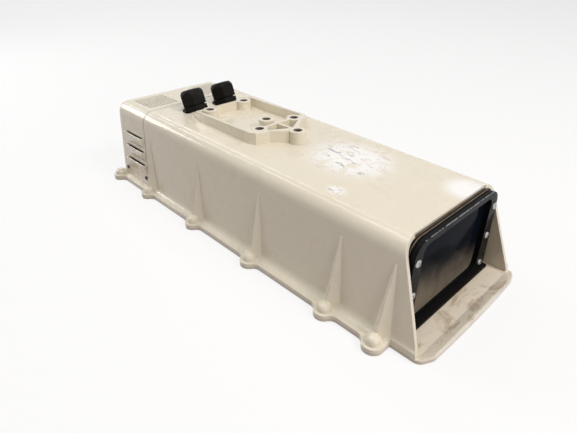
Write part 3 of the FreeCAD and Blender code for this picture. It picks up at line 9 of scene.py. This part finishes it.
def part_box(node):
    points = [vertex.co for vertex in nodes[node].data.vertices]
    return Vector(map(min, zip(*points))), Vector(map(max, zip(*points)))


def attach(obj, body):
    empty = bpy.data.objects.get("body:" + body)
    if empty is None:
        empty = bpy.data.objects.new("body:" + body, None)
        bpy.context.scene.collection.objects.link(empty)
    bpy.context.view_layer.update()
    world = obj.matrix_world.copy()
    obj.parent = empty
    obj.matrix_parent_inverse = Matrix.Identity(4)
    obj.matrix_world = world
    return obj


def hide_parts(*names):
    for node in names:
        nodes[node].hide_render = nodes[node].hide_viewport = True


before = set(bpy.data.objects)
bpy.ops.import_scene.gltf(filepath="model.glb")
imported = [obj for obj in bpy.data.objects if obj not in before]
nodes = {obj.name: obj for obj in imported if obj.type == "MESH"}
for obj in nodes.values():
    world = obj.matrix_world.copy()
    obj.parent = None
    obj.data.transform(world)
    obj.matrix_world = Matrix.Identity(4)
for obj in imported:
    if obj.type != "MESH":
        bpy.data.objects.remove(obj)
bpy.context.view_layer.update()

random.seed(7)
scene = bpy.context.scene
scene.view_settings.view_transform = "Standard"

PAD_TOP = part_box("housing_body")[1][2]
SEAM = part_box("rear_cover")[0][1]
MOUNT_HOLES = [(-0.0247, 0.0095), (0.0247, 0.0095), (-0.0247, 0.0965), (0.0247, 0.0965),
               (0, 0.027), (0, -0.0215)]
BORE_RADIUS = 0.004
BORE_MOUTH = 0.005
BORE_PITCH = 0.00125
FINS_START = -0.203
BEZEL_FRONT = -0.2075
BEZEL_TOP = 0.0900
LID_FACE = 0.003

CREAM = (0.82, 0.76, 0.625)
# The castings' cream painted lighter on the lid, standing in for light on the lid floor.
LIT_LID_CREAM = (0.93, 0.84, 0.70)
# Painted highlight along edges.
EDGE_HIGHLIGHT_CREAM = (0.95, 0.91, 0.82)
# White of the worn places on top, and of the painted lamp reflections there.
WORN_AND_GLARE_WHITE = (0.98, 0.975, 0.97)
SPECK_BROWN = (0.55, 0.47, 0.35)
# Dusty brown, also painted shade, laid into corners.
CORNER_DUST_AND_SHADE_BROWN = (0.40, 0.32, 0.22)


# Materials

class Graph:
    """Short way to build one node material, in the object's own metres."""

    def __init__(self, name):
        self.material = bpy.data.materials.new(name)
        self.material.use_nodes = True
        self.tree = self.material.node_tree
        self.shader = self.tree.nodes["Principled BSDF"]
        self.place = self.add("ShaderNodeTexCoord").outputs["Object"]

    def add(self, kind, **values):
        node = self.tree.nodes.new(kind)
        for key, value in values.items():
            setattr(node, key, value)
        return node

    def link(self, a, b):
        self.tree.links.new(a, b)

    def set(self, **values):
        for key, value in values.items():
            self.shader.inputs[key.replace("_", " ")].default_value = value

    def stretched(self, scale):
        node = self.add("ShaderNodeMapping")
        node.inputs["Scale"].default_value = scale
        self.link(self.place, node.inputs["Vector"])
        return node.outputs["Vector"]

    def noise(self, scale, detail=4, rough=0.55, vector=None, distort=0):
        node = self.add("ShaderNodeTexNoise")
        node.inputs["Scale"].default_value = scale
        node.inputs["Detail"].default_value = detail
        node.inputs["Roughness"].default_value = rough
        node.inputs["Distortion"].default_value = distort
        self.link(vector or self.place, node.inputs["Vector"])
        return node.outputs["Fac"]

    def spread(self, value, low, high, to_low=0, to_high=1):
        """Maps the stretch from low to high onto another, and holds it there."""
        node = self.add("ShaderNodeMapRange")
        node.interpolation_type = "SMOOTHSTEP"
        for key, number in (("From Min", low), ("From Max", high), ("To Min", to_low), ("To Max", to_high)):
            node.inputs[key].default_value = number
        self.link(value, node.inputs["Value"])
        return node.outputs["Result"]

    def math(self, kind, a, b=None):
        node = self.add("ShaderNodeMath", operation=kind)
        for i, part in enumerate((a, b)):
            if part is None:
                continue
            if isinstance(part, (int, float)):
                node.inputs[i].default_value = part
            else:
                self.link(part, node.inputs[i])
        return node.outputs[0]

    def times(self, a, b):
        return self.math("MULTIPLY", a, b)

    def larger(self, a, b):
        return self.math("MAXIMUM", a, b)

    def mix(self, share, a, b):
        """Colour between a and b; either may be a plain colour."""
        node = self.add("ShaderNodeMix", data_type="RGBA")
        colours = [s for s in node.inputs if s.type == "RGBA"]
        self.link(share, node.inputs[0])
        for socket, part in zip(colours, (a, b)):
            if isinstance(part, tuple):
                socket.default_value = (*part, 1)
            else:
                self.link(part, socket)
        return next(s for s in node.outputs if s.type == "RGBA")

    def tint(self, tone, colour, mask, share):
        """The tone, with a share of a colour where the mask is 1."""
        return self.mix(self.times(mask, share), tone, colour)

    def axis(self, letter):
        node = self.add("ShaderNodeSeparateXYZ")
        self.link(self.place, node.inputs[0])
        return node.outputs[letter]

    def disc(self, centre, radius):
        """1 within a radius of an upright axis, 0 beyond."""
        flat = self.add("ShaderNodeVectorMath", operation="MULTIPLY")
        flat.inputs[1].default_value = (1, 1, 0)
        self.link(self.place, flat.inputs[0])
        far = self.add("ShaderNodeVectorMath", operation="DISTANCE")
        far.inputs[1].default_value = (*centre, 0)
        self.link(flat.outputs[0], far.inputs[0])
        return self.spread(far.outputs["Value"], radius, radius - 0.0003)

    def normal(self, letter):
        """How far the surface faces along one axis."""
        node = self.add("ShaderNodeSeparateXYZ")
        self.link(self.add("ShaderNodeNewGeometry").outputs["Normal"], node.inputs[0])
        return node.outputs[letter]

    def spot(self, centre, radii):
        """1 in the middle of an ellipsoid, 0 at its edge and beyond."""
        shift = self.add("ShaderNodeVectorMath", operation="SUBTRACT")
        shift.inputs[1].default_value = centre
        self.link(self.place, shift.inputs[0])
        squeeze = self.add("ShaderNodeVectorMath", operation="DIVIDE")
        squeeze.inputs[1].default_value = radii
        self.link(shift.outputs[0], squeeze.inputs[0])
        far = self.add("ShaderNodeVectorMath", operation="LENGTH")
        self.link(squeeze.outputs[0], far.inputs[0])
        return self.spread(far.outputs["Value"], 1, 0.35)

    def crevice(self, distance):
        """1 in corners, 0 in the open."""
        node = self.add("ShaderNodeAmbientOcclusion", samples=6)
        node.inputs["Distance"].default_value = distance
        return self.spread(node.outputs["AO"], 0.85, 0.35)

    def edges(self, radius, low, high):
        """1 along the edges and creases of the shape, 0 on its plain faces."""
        soft = self.add("ShaderNodeBevel", samples=6)
        soft.inputs["Radius"].default_value = radius
        along = self.add("ShaderNodeVectorMath", operation="DOT_PRODUCT")
        self.link(soft.outputs[0], along.inputs[0])
        self.link(self.add("ShaderNodeNewGeometry").outputs["Normal"], along.inputs[1])
        return self.spread(self.math("SUBTRACT", 1.0, along.outputs["Value"]), low, high)

    def bump(self, height, strength, distance, edge=None):
        node = self.add("ShaderNodeBump")
        node.inputs["Strength"].default_value = strength
        node.inputs["Distance"].default_value = distance
        self.link(height, node.inputs["Height"])
        if edge is not None:
            soft = self.add("ShaderNodeBevel", samples=4)
            soft.inputs["Radius"].default_value = edge
            self.link(soft.outputs[0], node.inputs["Normal"])
        self.link(node.outputs[0], self.shader.inputs["Normal"])

    def glow(self, colour):
        node = self.add("ShaderNodeEmission")
        node.inputs["Color"].default_value = (*colour, 1)
        return node.outputs[0]

    def join(self, share, a, b):
        """Shader between a and b."""
        node = self.add("ShaderNodeMixShader")
        if isinstance(share, float):
            node.inputs[0].default_value = share
        else:
            self.link(share, node.inputs[0])
        self.link(a, node.inputs[1])
        self.link(b, node.inputs[2])
        return node.outputs[0]

    def colour(self, socket):
        self.link(socket, self.shader.inputs["Base Color"])

    def rough(self, socket):
        self.link(socket, self.shader.inputs["Roughness"])


def cream_paint(name, marks, light=CREAM, creases=(0.0012, 0.004, 0.02)):
    """Gloss cream coating on a casting: faint mottling, specks, dusty corners with painted shade in them, and
    painted highlights along the edges.

    marks adds what only this casting shows, and creases holds what its edges() takes.
    """
    g = Graph(name)
    tone = g.mix(g.noise(11, 2), light, tuple(c * 0.96 for c in light))
    tone = g.tint(tone, SPECK_BROWN, g.spread(g.noise(520, 1), 0.74, 0.80), 0.3)
    # Dusty brown with painted shade: darker where corners and creases hide the light, broken up by noise.
    corner_dust_and_shade = g.times(g.crevice(0.0022), g.spread(g.noise(90, 5), 0.3, 0.75))
    tone = g.tint(tone, CORNER_DUST_AND_SHADE_BROWN, corner_dust_and_shade, 0.4)
    # Painted highlight: paler cream along edges and creases, where the rounded edges catch the light.
    edge_highlight = g.times(g.edges(*creases), g.spread(g.noise(140, 4), 0.3, 0.6, 0.5, 0.9))
    tone = g.mix(edge_highlight, tone, EDGE_HIGHLIGHT_CREAM)
    rough = g.spread(g.noise(36, 5), 0.3, 0.75, 0.24, 0.36)
    tone, rough = marks(g, tone, rough)
    g.colour(tone)
    g.rough(rough)
    g.set(Coat_Weight=0.55, Coat_Roughness=0.035, Specular_IOR_Level=0.2)
    waves = g.math("ADD", g.noise(300, 1), g.times(g.noise(22, 1), 3.0))
    g.bump(waves, 0.1, 0.0005, 0.0009)
    return g.material


def casting_marks(g, tone, rough):
    """Painted shade on the insides of the fins and in the bores, bare metal round the bore mouths, places on
    top where the coating is worn white under a painted lamp reflection, and a painted lamp reflection nearer
    the front.
    """
    # Painted shade: dark brown on the inward faces of the fins ahead of the window.
    inward = g.times(g.axis("X"), g.normal("X"))
    fin_inner_shade = g.times(g.spread(inward, -0.02, -0.04), g.spread(g.axis("Y"), FINS_START, FINS_START - 0.003))
    tone = g.tint(tone, (0.34, 0.27, 0.20), fin_inner_shade, 0.55)
    # Painted shade in each bore, with the ring beyond it round the mouth as bare metal.
    for centre in MOUNT_HOLES:
        tone = g.tint(tone, (0.13, 0.10, 0.08), g.disc(centre, BORE_MOUTH), 0.9)
    # Worn white places on top with a painted lamp reflection over them, and nearer the front a painted lamp
    # reflection alone; dark flecks only in the worn places.
    middle = g.spot((0.010, -0.084, 0.095), (0.048, 0.060, 0.02))
    edge = g.spot((-0.048, -0.117, 0.094), (0.010, 0.013, 0.02))
    front = g.spot((0.036, -0.191, 0.0925), (0.026, 0.026, 0.02))
    cloudy = g.spread(g.noise(58, 7, 0.7, distort=0.9), 0.38, 0.50)
    worn_and_glare = g.times(g.larger(middle, edge), cloudy)
    flecks = g.spread(g.noise(240, 6, 0.75, g.stretched((1, 0.3, 1)), 0.6), 0.54, 0.61)
    tone = g.tint(tone, WORN_AND_GLARE_WHITE, g.larger(worn_and_glare, front), 0.95)
    tone = g.tint(tone, (0.28, 0.26, 0.24), g.times(worn_and_glare, flecks), 0.8)
    return tone, g.math("ADD", rough, g.times(worn_and_glare, 0.25))


def cover_marks(g, tone, rough):
    """Dirt in the seam between the hood and the casting."""
    joint = g.spread(g.axis("Y"), SEAM + 0.0016, SEAM + 0.0004)
    return g.tint(tone, (0.34, 0.27, 0.21), joint, 0.75), rough


def lid_marks(g, tone, rough):
    """Brown smudges ahead of the window, and painted shade on the lid's side faces all round."""
    ahead = g.times(g.spread(g.axis("Y"), FINS_START, FINS_START - 0.013),
                    g.spread(g.axis("Z"), 0.001, LID_FACE - 0.0001))
    smudges = g.spread(g.noise(38, 6, 0.7, g.stretched((1, 1.7, 1)), 0.9), 0.48, 0.68)
    tone = g.tint(tone, (0.42, 0.30, 0.17), g.times(ahead, smudges), 0.62)
    # Painted shade: the upright side faces below the lid's top face darker grey-brown.
    below = g.spread(g.axis("Z"), LID_FACE + 0.0001, LID_FACE - 0.0003)
    upright = g.spread(g.math("ABSOLUTE", g.normal("Z")), 0.75, 0.45)
    return g.tint(tone, (0.42, 0.37, 0.31), g.times(below, upright), 0.5), rough


def bezel_highlight(g, tone):
    """Painted highlight: a grey line along the upper front edge of the bezel, broken up by noise."""
    strip = g.times(g.spread(g.axis("Y"), BEZEL_FRONT + 0.0008, BEZEL_FRONT + 0.0004),
                    g.spread(g.axis("Z"), BEZEL_TOP - 0.0006, BEZEL_TOP - 0.0003))
    broken = g.spread(g.noise(160, 4, 0.7), 0.36, 0.5)
    return g.tint(tone, (0.34, 0.36, 0.39), g.times(strip, broken), 0.8)


def dark_piece(name, colour, rough, grain=900, strength=0.15, shine=0.35, painted_edge=None):
    """Dark paint, plastic or rubber with fine grain and lighter scuffs."""
    g = Graph(name)
    lighter = tuple(c * 2.0 + 0.006 for c in colour)
    tone = g.mix(g.spread(g.noise(60, 5, 0.6), 0.5, 0.85), colour, lighter)
    # Adds a painted edge highlight, where one is given.
    if painted_edge:
        tone = painted_edge(g, tone)
    g.colour(tone)
    g.rough(g.spread(g.noise(120, 4), 0.3, 0.7, *rough))
    g.set(Specular_IOR_Level=shine)
    g.bump(g.noise(grain, 3), strength, 0.0003, 0.0004)
    return g.material


def bands(g, scale):
    """Regular bands across Y."""
    wave = g.add("ShaderNodeTexWave", wave_type="BANDS", bands_direction="Y")
    wave.inputs["Scale"].default_value = scale
    g.link(g.place, wave.inputs["Vector"])
    return wave.outputs["Fac"]


def layered_black(name):
    """Dark sheets pressed together, seen from their edges as thin brown lines."""
    g = Graph(name)
    layers = bands(g, 121)
    lines = g.times(g.spread(layers, 0.6, 0.95), g.spread(g.noise(90, 4), 0.3, 0.6, 0.5, 1))
    g.colour(g.mix(lines, (0.006, 0.005, 0.004), (0.22, 0.165, 0.115)))
    g.set(Roughness=0.6, Specular_IOR_Level=0.1)
    g.bump(layers, 0.3, 0.0003, 0.0003)
    return g.material


def steel(name, colour=(0.62, 0.61, 0.59), rough=0.28):
    """Turned stainless steel."""
    g = Graph(name)
    g.colour(g.mix(g.spread(g.noise(300, 4), 0.35, 0.7), colour, tuple(c * 0.72 for c in colour)))
    g.rough(g.spread(g.noise(700, 3), 0.3, 0.7, rough, rough + 0.14))
    g.set(Metallic=1.0)
    g.bump(g.noise(1400, 2), 0.1, 0.0002, 0.0002)
    return g.material


def window_pane(name):
    """Flat glass painted dark navy, a painted dark reflection. A brown haze rises from its foot, higher on
    the left: dusty, and partly a painted reflection of the lid below.
    """
    g = Graph(name)
    wiped = g.noise(26, 4, 0.6, g.stretched((1.2, 1, 0.8)), 0.3)
    line = g.math("ADD", g.times(g.axis("X"), -0.22), g.spread(wiped, 0.3, 0.7, 0.036, 0.044))
    dust_and_reflection_haze = g.spread(g.math("SUBTRACT", g.axis("Z"), line), 0.012, -0.034)
    dust_and_reflection_haze = g.times(dust_and_reflection_haze, g.spread(wiped, 0.25, 0.7, 0.75, 1))
    # Dark navy as a painted reflection; the brown haze dusty and partly a painted reflection of the lid.
    g.colour(g.mix(dust_and_reflection_haze, (0.004, 0.0065, 0.012), (0.20, 0.17, 0.135)))
    g.rough(g.spread(g.noise(30, 5), 0.3, 0.8, 0.05, 0.14))
    g.set(IOR=1.5, Specular_IOR_Level=0.006)
    g.bump(g.noise(20, 2), 0.02, 0.0002)
    return g.material


def mesh_screen(name, gap, wire):
    """Fine wire mesh."""
    g = Graph(name)
    wires = bands(g, 220)
    g.colour(g.mix(wires, gap, wire))
    g.set(Metallic=0.3, Roughness=0.6)
    g.bump(wires, 0.5, 0.0004)
    return g.material


def board_green(name):
    """Circuit board with copper tracks under green lacquer."""
    g = Graph(name)
    lines = g.add("ShaderNodeTexVoronoi", feature="DISTANCE_TO_EDGE")
    lines.inputs["Scale"].default_value = 180
    g.link(g.place, lines.inputs["Vector"])
    tracks = g.spread(lines.outputs["Distance"], 0.02, 0.06)
    g.colour(g.mix(tracks, (0.02, 0.16, 0.07), (0.01, 0.08, 0.035)))
    g.set(Roughness=0.35)
    g.bump(tracks, 0.2, 0.0001)
    return g.material


def dress(material, *names):
    for name in names:
        obj = nodes[name]
        obj.data.materials.clear()
        obj.data.materials.append(material)


def gland_parts(*kinds):
    return [f"gland_{kind}_{side}" for side in ("left", "right") for kind in kinds]


dress(cream_paint("cream_casting", casting_marks), "housing_body")
dress(cream_paint("cream_cover", cover_marks), "rear_cover")
dress(cream_paint("cream_lid", lid_marks, LIT_LID_CREAM, (0.0009, 0.0004, 0.003)), "sun_lid")
dress(dark_piece("satin_black", (0.007, 0.007, 0.008), (0.2, 0.36), 700, 0.1, 0.04, bezel_highlight),
      "window_bezel")
dress(layered_black("spacer_layers"), "window_spacer")
dress(dark_piece("rubber_black", (0.008, 0.007, 0.006), (0.6, 0.85), 1200, 0.3, 0.06),
      "lid_gasket", "bezel_gasket", "glass_gasket", "window_sill_seal", *gland_parts("washer", "seal"))
dress(dark_piece("gland_black", (0.009, 0.008, 0.007), (0.42, 0.6), 1500, 0.2, 0.08),
      *gland_parts("body", "nut", "locknut"))
dress(window_pane("painted_dark_pane"), "window_glass")
dress(steel("screw_steel"), "lid_screws", "window_screws", "sled_screws", "board_screws",
      "heater_screws", "fan_screws", "camera_screw", "thermostat")
dress(steel("dark_screw", (0.10, 0.095, 0.09), 0.4), "screen_screws")
dress(mesh_screen("dark_mesh", (0.008, 0.008, 0.008), (0.04, 0.04, 0.038)), "screen_left", "screen_right")
dress(mesh_screen("pale_mesh", (0.56, 0.49, 0.40), (0.78, 0.71, 0.60)), "screen_top")
dress(steel("sled_sheet", (0.74, 0.75, 0.76), 0.35), "camera_sled", "window_heater")
dress(steel("brass", (0.72, 0.55, 0.27), 0.3), "board_standoffs")
dress(board_green("board_green"), "power_board")
dress(dark_piece("fan_grey", (0.03, 0.03, 0.032), (0.4, 0.6)),
      "fan_frame", "fan_rotor", "terminal_block", "power_module")


# Threads and screw heads, finer than the castings


def mesh_object(name, mesh, material):
    data = bpy.data.meshes.new(name)
    bmesh.ops.recalc_face_normals(mesh, faces=mesh.faces)
    mesh.to_mesh(data)
    mesh.free()
    data.materials.append(material)
    obj = bpy.data.objects.new(name, data)
    scene.collection.objects.link(obj)
    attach(obj, "housing")
    return obj


def screw_thread(mesh, centre, top, turns):
    """Triangular ridge that winds down the wall of a bore."""
    steps = 28
    wall = BORE_RADIUS - 0.00002
    crest = BORE_RADIUS - 0.6 * BORE_PITCH
    half = 0.45 * BORE_PITCH
    rows = []
    for i in range(steps * turns + 1):
        angle = math.tau * i / steps
        middle = top - BORE_PITCH * i / steps
        points = ((wall, middle + half), (crest, middle), (wall, middle - half))
        rows.append([mesh.verts.new((centre[0] + math.cos(angle) * r, centre[1] + math.sin(angle) * r, z))
                     for r, z in points])
    for a, b in zip(rows, rows[1:]):
        for k in range(2):
            mesh.faces.new((a[k], b[k], b[k + 1], a[k + 1]))


def add_mount_threads():
    mesh = bmesh.new()
    for centre in MOUNT_HOLES:
        screw_thread(mesh, centre, PAD_TOP - 0.0008, 6)
    mesh_object("mount_threads", mesh, steel("thread_metal", (0.16, 0.13, 0.11), 0.5))


def cross(angle, half_long, half_wide):
    """Radius of a cross recess at an angle."""
    c = max(abs(math.cos(angle)), 1e-6)
    s = max(abs(math.sin(angle)), 1e-6)
    return max(min(half_long / c, half_wide / s), min(half_wide / c, half_long / s))


def hexagon(angle, half_flats):
    """Radius of a hexagon recess at an angle."""
    return half_flats / math.cos((angle % (math.pi / 3)) - math.pi / 6)


def turned_screw(mesh, place, profile, recess, size, deep):
    """Screw along its own +Z, its top at 0: rings of the outside, then the recess sunk into its head."""
    around = 40
    angles = [math.tau * i / around for i in range(around)]
    rings = [[(r, z) for _ in angles] for r, z in profile]
    for share, z in ((1.12, 0), (1.0, -deep * 0.12), (0.82, -deep)):
        rings.append([(recess(a, *size) * share, z) for a in angles])
    loops = []
    for ring in rings:
        loops.append([mesh.verts.new(place @ Vector((math.cos(a) * r, math.sin(a) * r, z)))
                      for a, (r, z) in zip(angles, ring)])
    for low, high in zip(loops, loops[1:]):
        for i in range(around):
            j = (i + 1) % around
            mesh.faces.new((low[i], low[j], high[j], high[i]))
    mesh.faces.new(loops[0][::-1])
    mesh.faces.new(loops[-1])


def solids_of(name):
    """Boxes of the separate solids in a node, in the shared frame."""
    obj = nodes[name]
    mesh = bmesh.new()
    mesh.from_mesh(obj.data)
    mesh.transform(obj.matrix_world)
    bmesh.ops.remove_doubles(mesh, verts=mesh.verts, dist=1e-7)
    left = set(mesh.verts)
    found = []
    while left:
        stack = [left.pop()]
        group = []
        while stack:
            vert = stack.pop()
            group.append(vert.co.copy())
            for edge in vert.link_edges:
                other = edge.other_vert(vert)
                if other in left:
                    left.remove(other)
                    stack.append(other)
        found.append([Vector([pick(p[k] for p in group) for k in range(3)]) for pick in (min, max)])
    mesh.free()
    return sorted(found, key=lambda b: tuple(b[0]))


def add_screws(name, way, profile, recess, size, deep, material):
    """Finer copies of a node's screws, whose heads face along way. profile gives the outline for a length."""
    low, high = solids_of(name)[0]
    along = [i for i in range(3) if way[i]][0]
    outline = profile(high[along] - low[along])
    mesh = bmesh.new()
    for low, high in solids_of(name):
        face = (low + high) / 2
        face[along] = low[along]
        turn = way.to_track_quat("Z", "Y").to_matrix().to_4x4()
        twist = Matrix.Rotation(random.uniform(0, math.pi), 4, "Z")
        turned_screw(mesh, Matrix.Translation(face) @ turn @ twist, outline, recess, size, deep)
    obj = mesh_object(name + "_fine", mesh, material)
    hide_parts(name)


def pan_head(long):
    return [(0.0014, -long), (0.0015, -long + 0.0003), (0.0015, -0.0016), (0.0034, -0.0016),
            (0.0034, -0.0011), (0.0032, -0.00055), (0.0026, -0.0002), (0.0019, 0)]


def sunk_head(long):
    return [(0.0022, -long), (0.0024, -long + 0.0003), (0.0024, -0.0023), (0.0045, -0.0002),
            (0.0046, 0), (0.0036, 0)]


add_mount_threads()
add_screws("window_screws", Vector((0, -1, 0)), pan_head, cross, (0.0015, 0.00038), 0.001,
           steel("pan_screw", (0.50, 0.50, 0.50)))
add_screws("lid_screws", Vector((0, 0, -1)), sunk_head, hexagon, (0.0016,), 0.0018, steel("lid_screw"))


# Camera, floor and lights

def add_camera():
    """Camera solved from the photograph: 577 pixels wide, with a focal length of 455.10 pixels."""
    data = bpy.data.cameras.new("photo_camera")
    data.sensor_fit = "HORIZONTAL"
    data.sensor_width = 36.0
    data.lens = 455.10 / 577 * 36
    data.clip_end = 20
    camera = bpy.data.objects.new("photo_camera", data)
    scene.collection.objects.link(camera)
    azimuth = math.radians(-43.688)
    elevation = math.radians(31.206)
    roll = math.radians(-0.241)
    back = Vector((math.sin(azimuth) * math.cos(elevation), -math.cos(azimuth) * math.cos(elevation),
                   math.sin(elevation)))
    right = Vector((math.cos(azimuth), math.sin(azimuth), 0))
    up = back.cross(right)
    side = right * math.cos(roll) + up * math.sin(roll)
    top = up * math.cos(roll) - right * math.sin(roll)
    turn = Matrix((side, top, back)).transposed().to_4x4()
    camera.matrix_world = Matrix.Translation((-0.31308, -0.33489, 0.27502)) @ turn
    scene.camera = camera


def add_floor():
    """Pale floor that keeps the object's shadow. Its bounce on the object is as warm as in the photograph."""
    mesh = bmesh.new()
    bmesh.ops.create_grid(mesh, x_segments=1, y_segments=1, size=6)
    data = bpy.data.meshes.new("floor")
    mesh.to_mesh(data)
    floor = bpy.data.objects.new("floor", data)
    floor.location.z = -0.0003
    scene.collection.objects.link(floor)
    g = Graph("pale_floor")
    g.set(Roughness=0.9, Base_Color=(0.93, 0.93, 0.93, 1), Specular_IOR_Level=0.1)
    seen = g.join(0.75, g.shader.outputs[0], g.glow((1, 1, 1)))
    bounce = g.add("ShaderNodeBsdfDiffuse")
    bounce.inputs["Color"].default_value = (0.44, 0.385, 0.365, 1)
    path = g.add("ShaderNodeLightPath").outputs
    direct = g.larger(path["Is Camera Ray"], g.larger(path["Is Glossy Ray"], path["Is Transmission Ray"]))
    g.link(g.join(direct, bounce.outputs[0], seen), g.tree.nodes["Material Output"].inputs["Surface"])
    data.materials.append(g.material)


def add_world():
    """Even soft light, white where the camera, gloss or glass sees it."""
    world = bpy.data.worlds.new("plain_world")
    scene.world = world
    world.use_nodes = True
    tree = world.node_tree
    background = tree.nodes["Background"]
    background.inputs["Color"].default_value = (1, 0.965, 0.945, 1)
    background.inputs["Strength"].default_value = 0.15
    white = tree.nodes.new("ShaderNodeBackground")
    white.inputs["Strength"].default_value = 1
    path = tree.nodes.new("ShaderNodeLightPath")
    share = path.outputs["Is Camera Ray"]
    for kind in ("Is Glossy Ray", "Is Transmission Ray"):
        either = tree.nodes.new("ShaderNodeMath")
        either.operation = "MAXIMUM"
        tree.links.new(share, either.inputs[0])
        tree.links.new(path.outputs[kind], either.inputs[1])
        share = either.outputs[0]
    blend = tree.nodes.new("ShaderNodeMixShader")
    tree.links.new(share, blend.inputs[0])
    tree.links.new(background.outputs[0], blend.inputs[1])
    tree.links.new(white.outputs[0], blend.inputs[2])
    tree.links.new(blend.outputs[0], tree.nodes["World Output"].inputs["Surface"])


def add_lamp(name, place, aim, size, power, colour=(1, 1, 1)):
    data = bpy.data.lights.new(name, "AREA")
    data.shape = "RECTANGLE"
    data.size, data.size_y = size
    data.energy = power
    data.color = colour
    lamp = bpy.data.objects.new(name, data)
    lamp.location = place
    lamp.rotation_euler = (Vector(aim) - Vector(place)).to_track_quat("-Z", "Y").to_euler()
    scene.collection.objects.link(lamp)


add_camera()
add_floor()
add_world()
add_lamp("overhead", (-0.35, 0, 1.7), (-0.05, 0, 0.05), (1.4, 1.4), 8.5, (1, 0.995, 0.985))
add_lamp("rear_side", (-0.55, 1.3, 0.6), (-0.08, 0.1, 0.04), (0.5, 0.4), 4.5, (1, 0.985, 0.96))
add_lamp("front_fill", (0.3, -1.25, 1.3), (0, -0.22, 0.03), (0.5, 0.5), 13.5, (1, 0.94, 0.885))
add_lamp("front_low", (-0.45, -1.6, 0.5), (0, -0.1, 0.03), (0.4, 0.3), 5, (1, 0.96, 0.91))
add_lamp("tube_near", (-0.15, 1.5, 1.6), (-0.15, 1.5, 0), (0.12, 3.0), 7.5)
add_lamp("tube_far", (0.9, 1.5, 1.6), (0.9, 1.5, 0), (0.12, 3.0), 7.5)
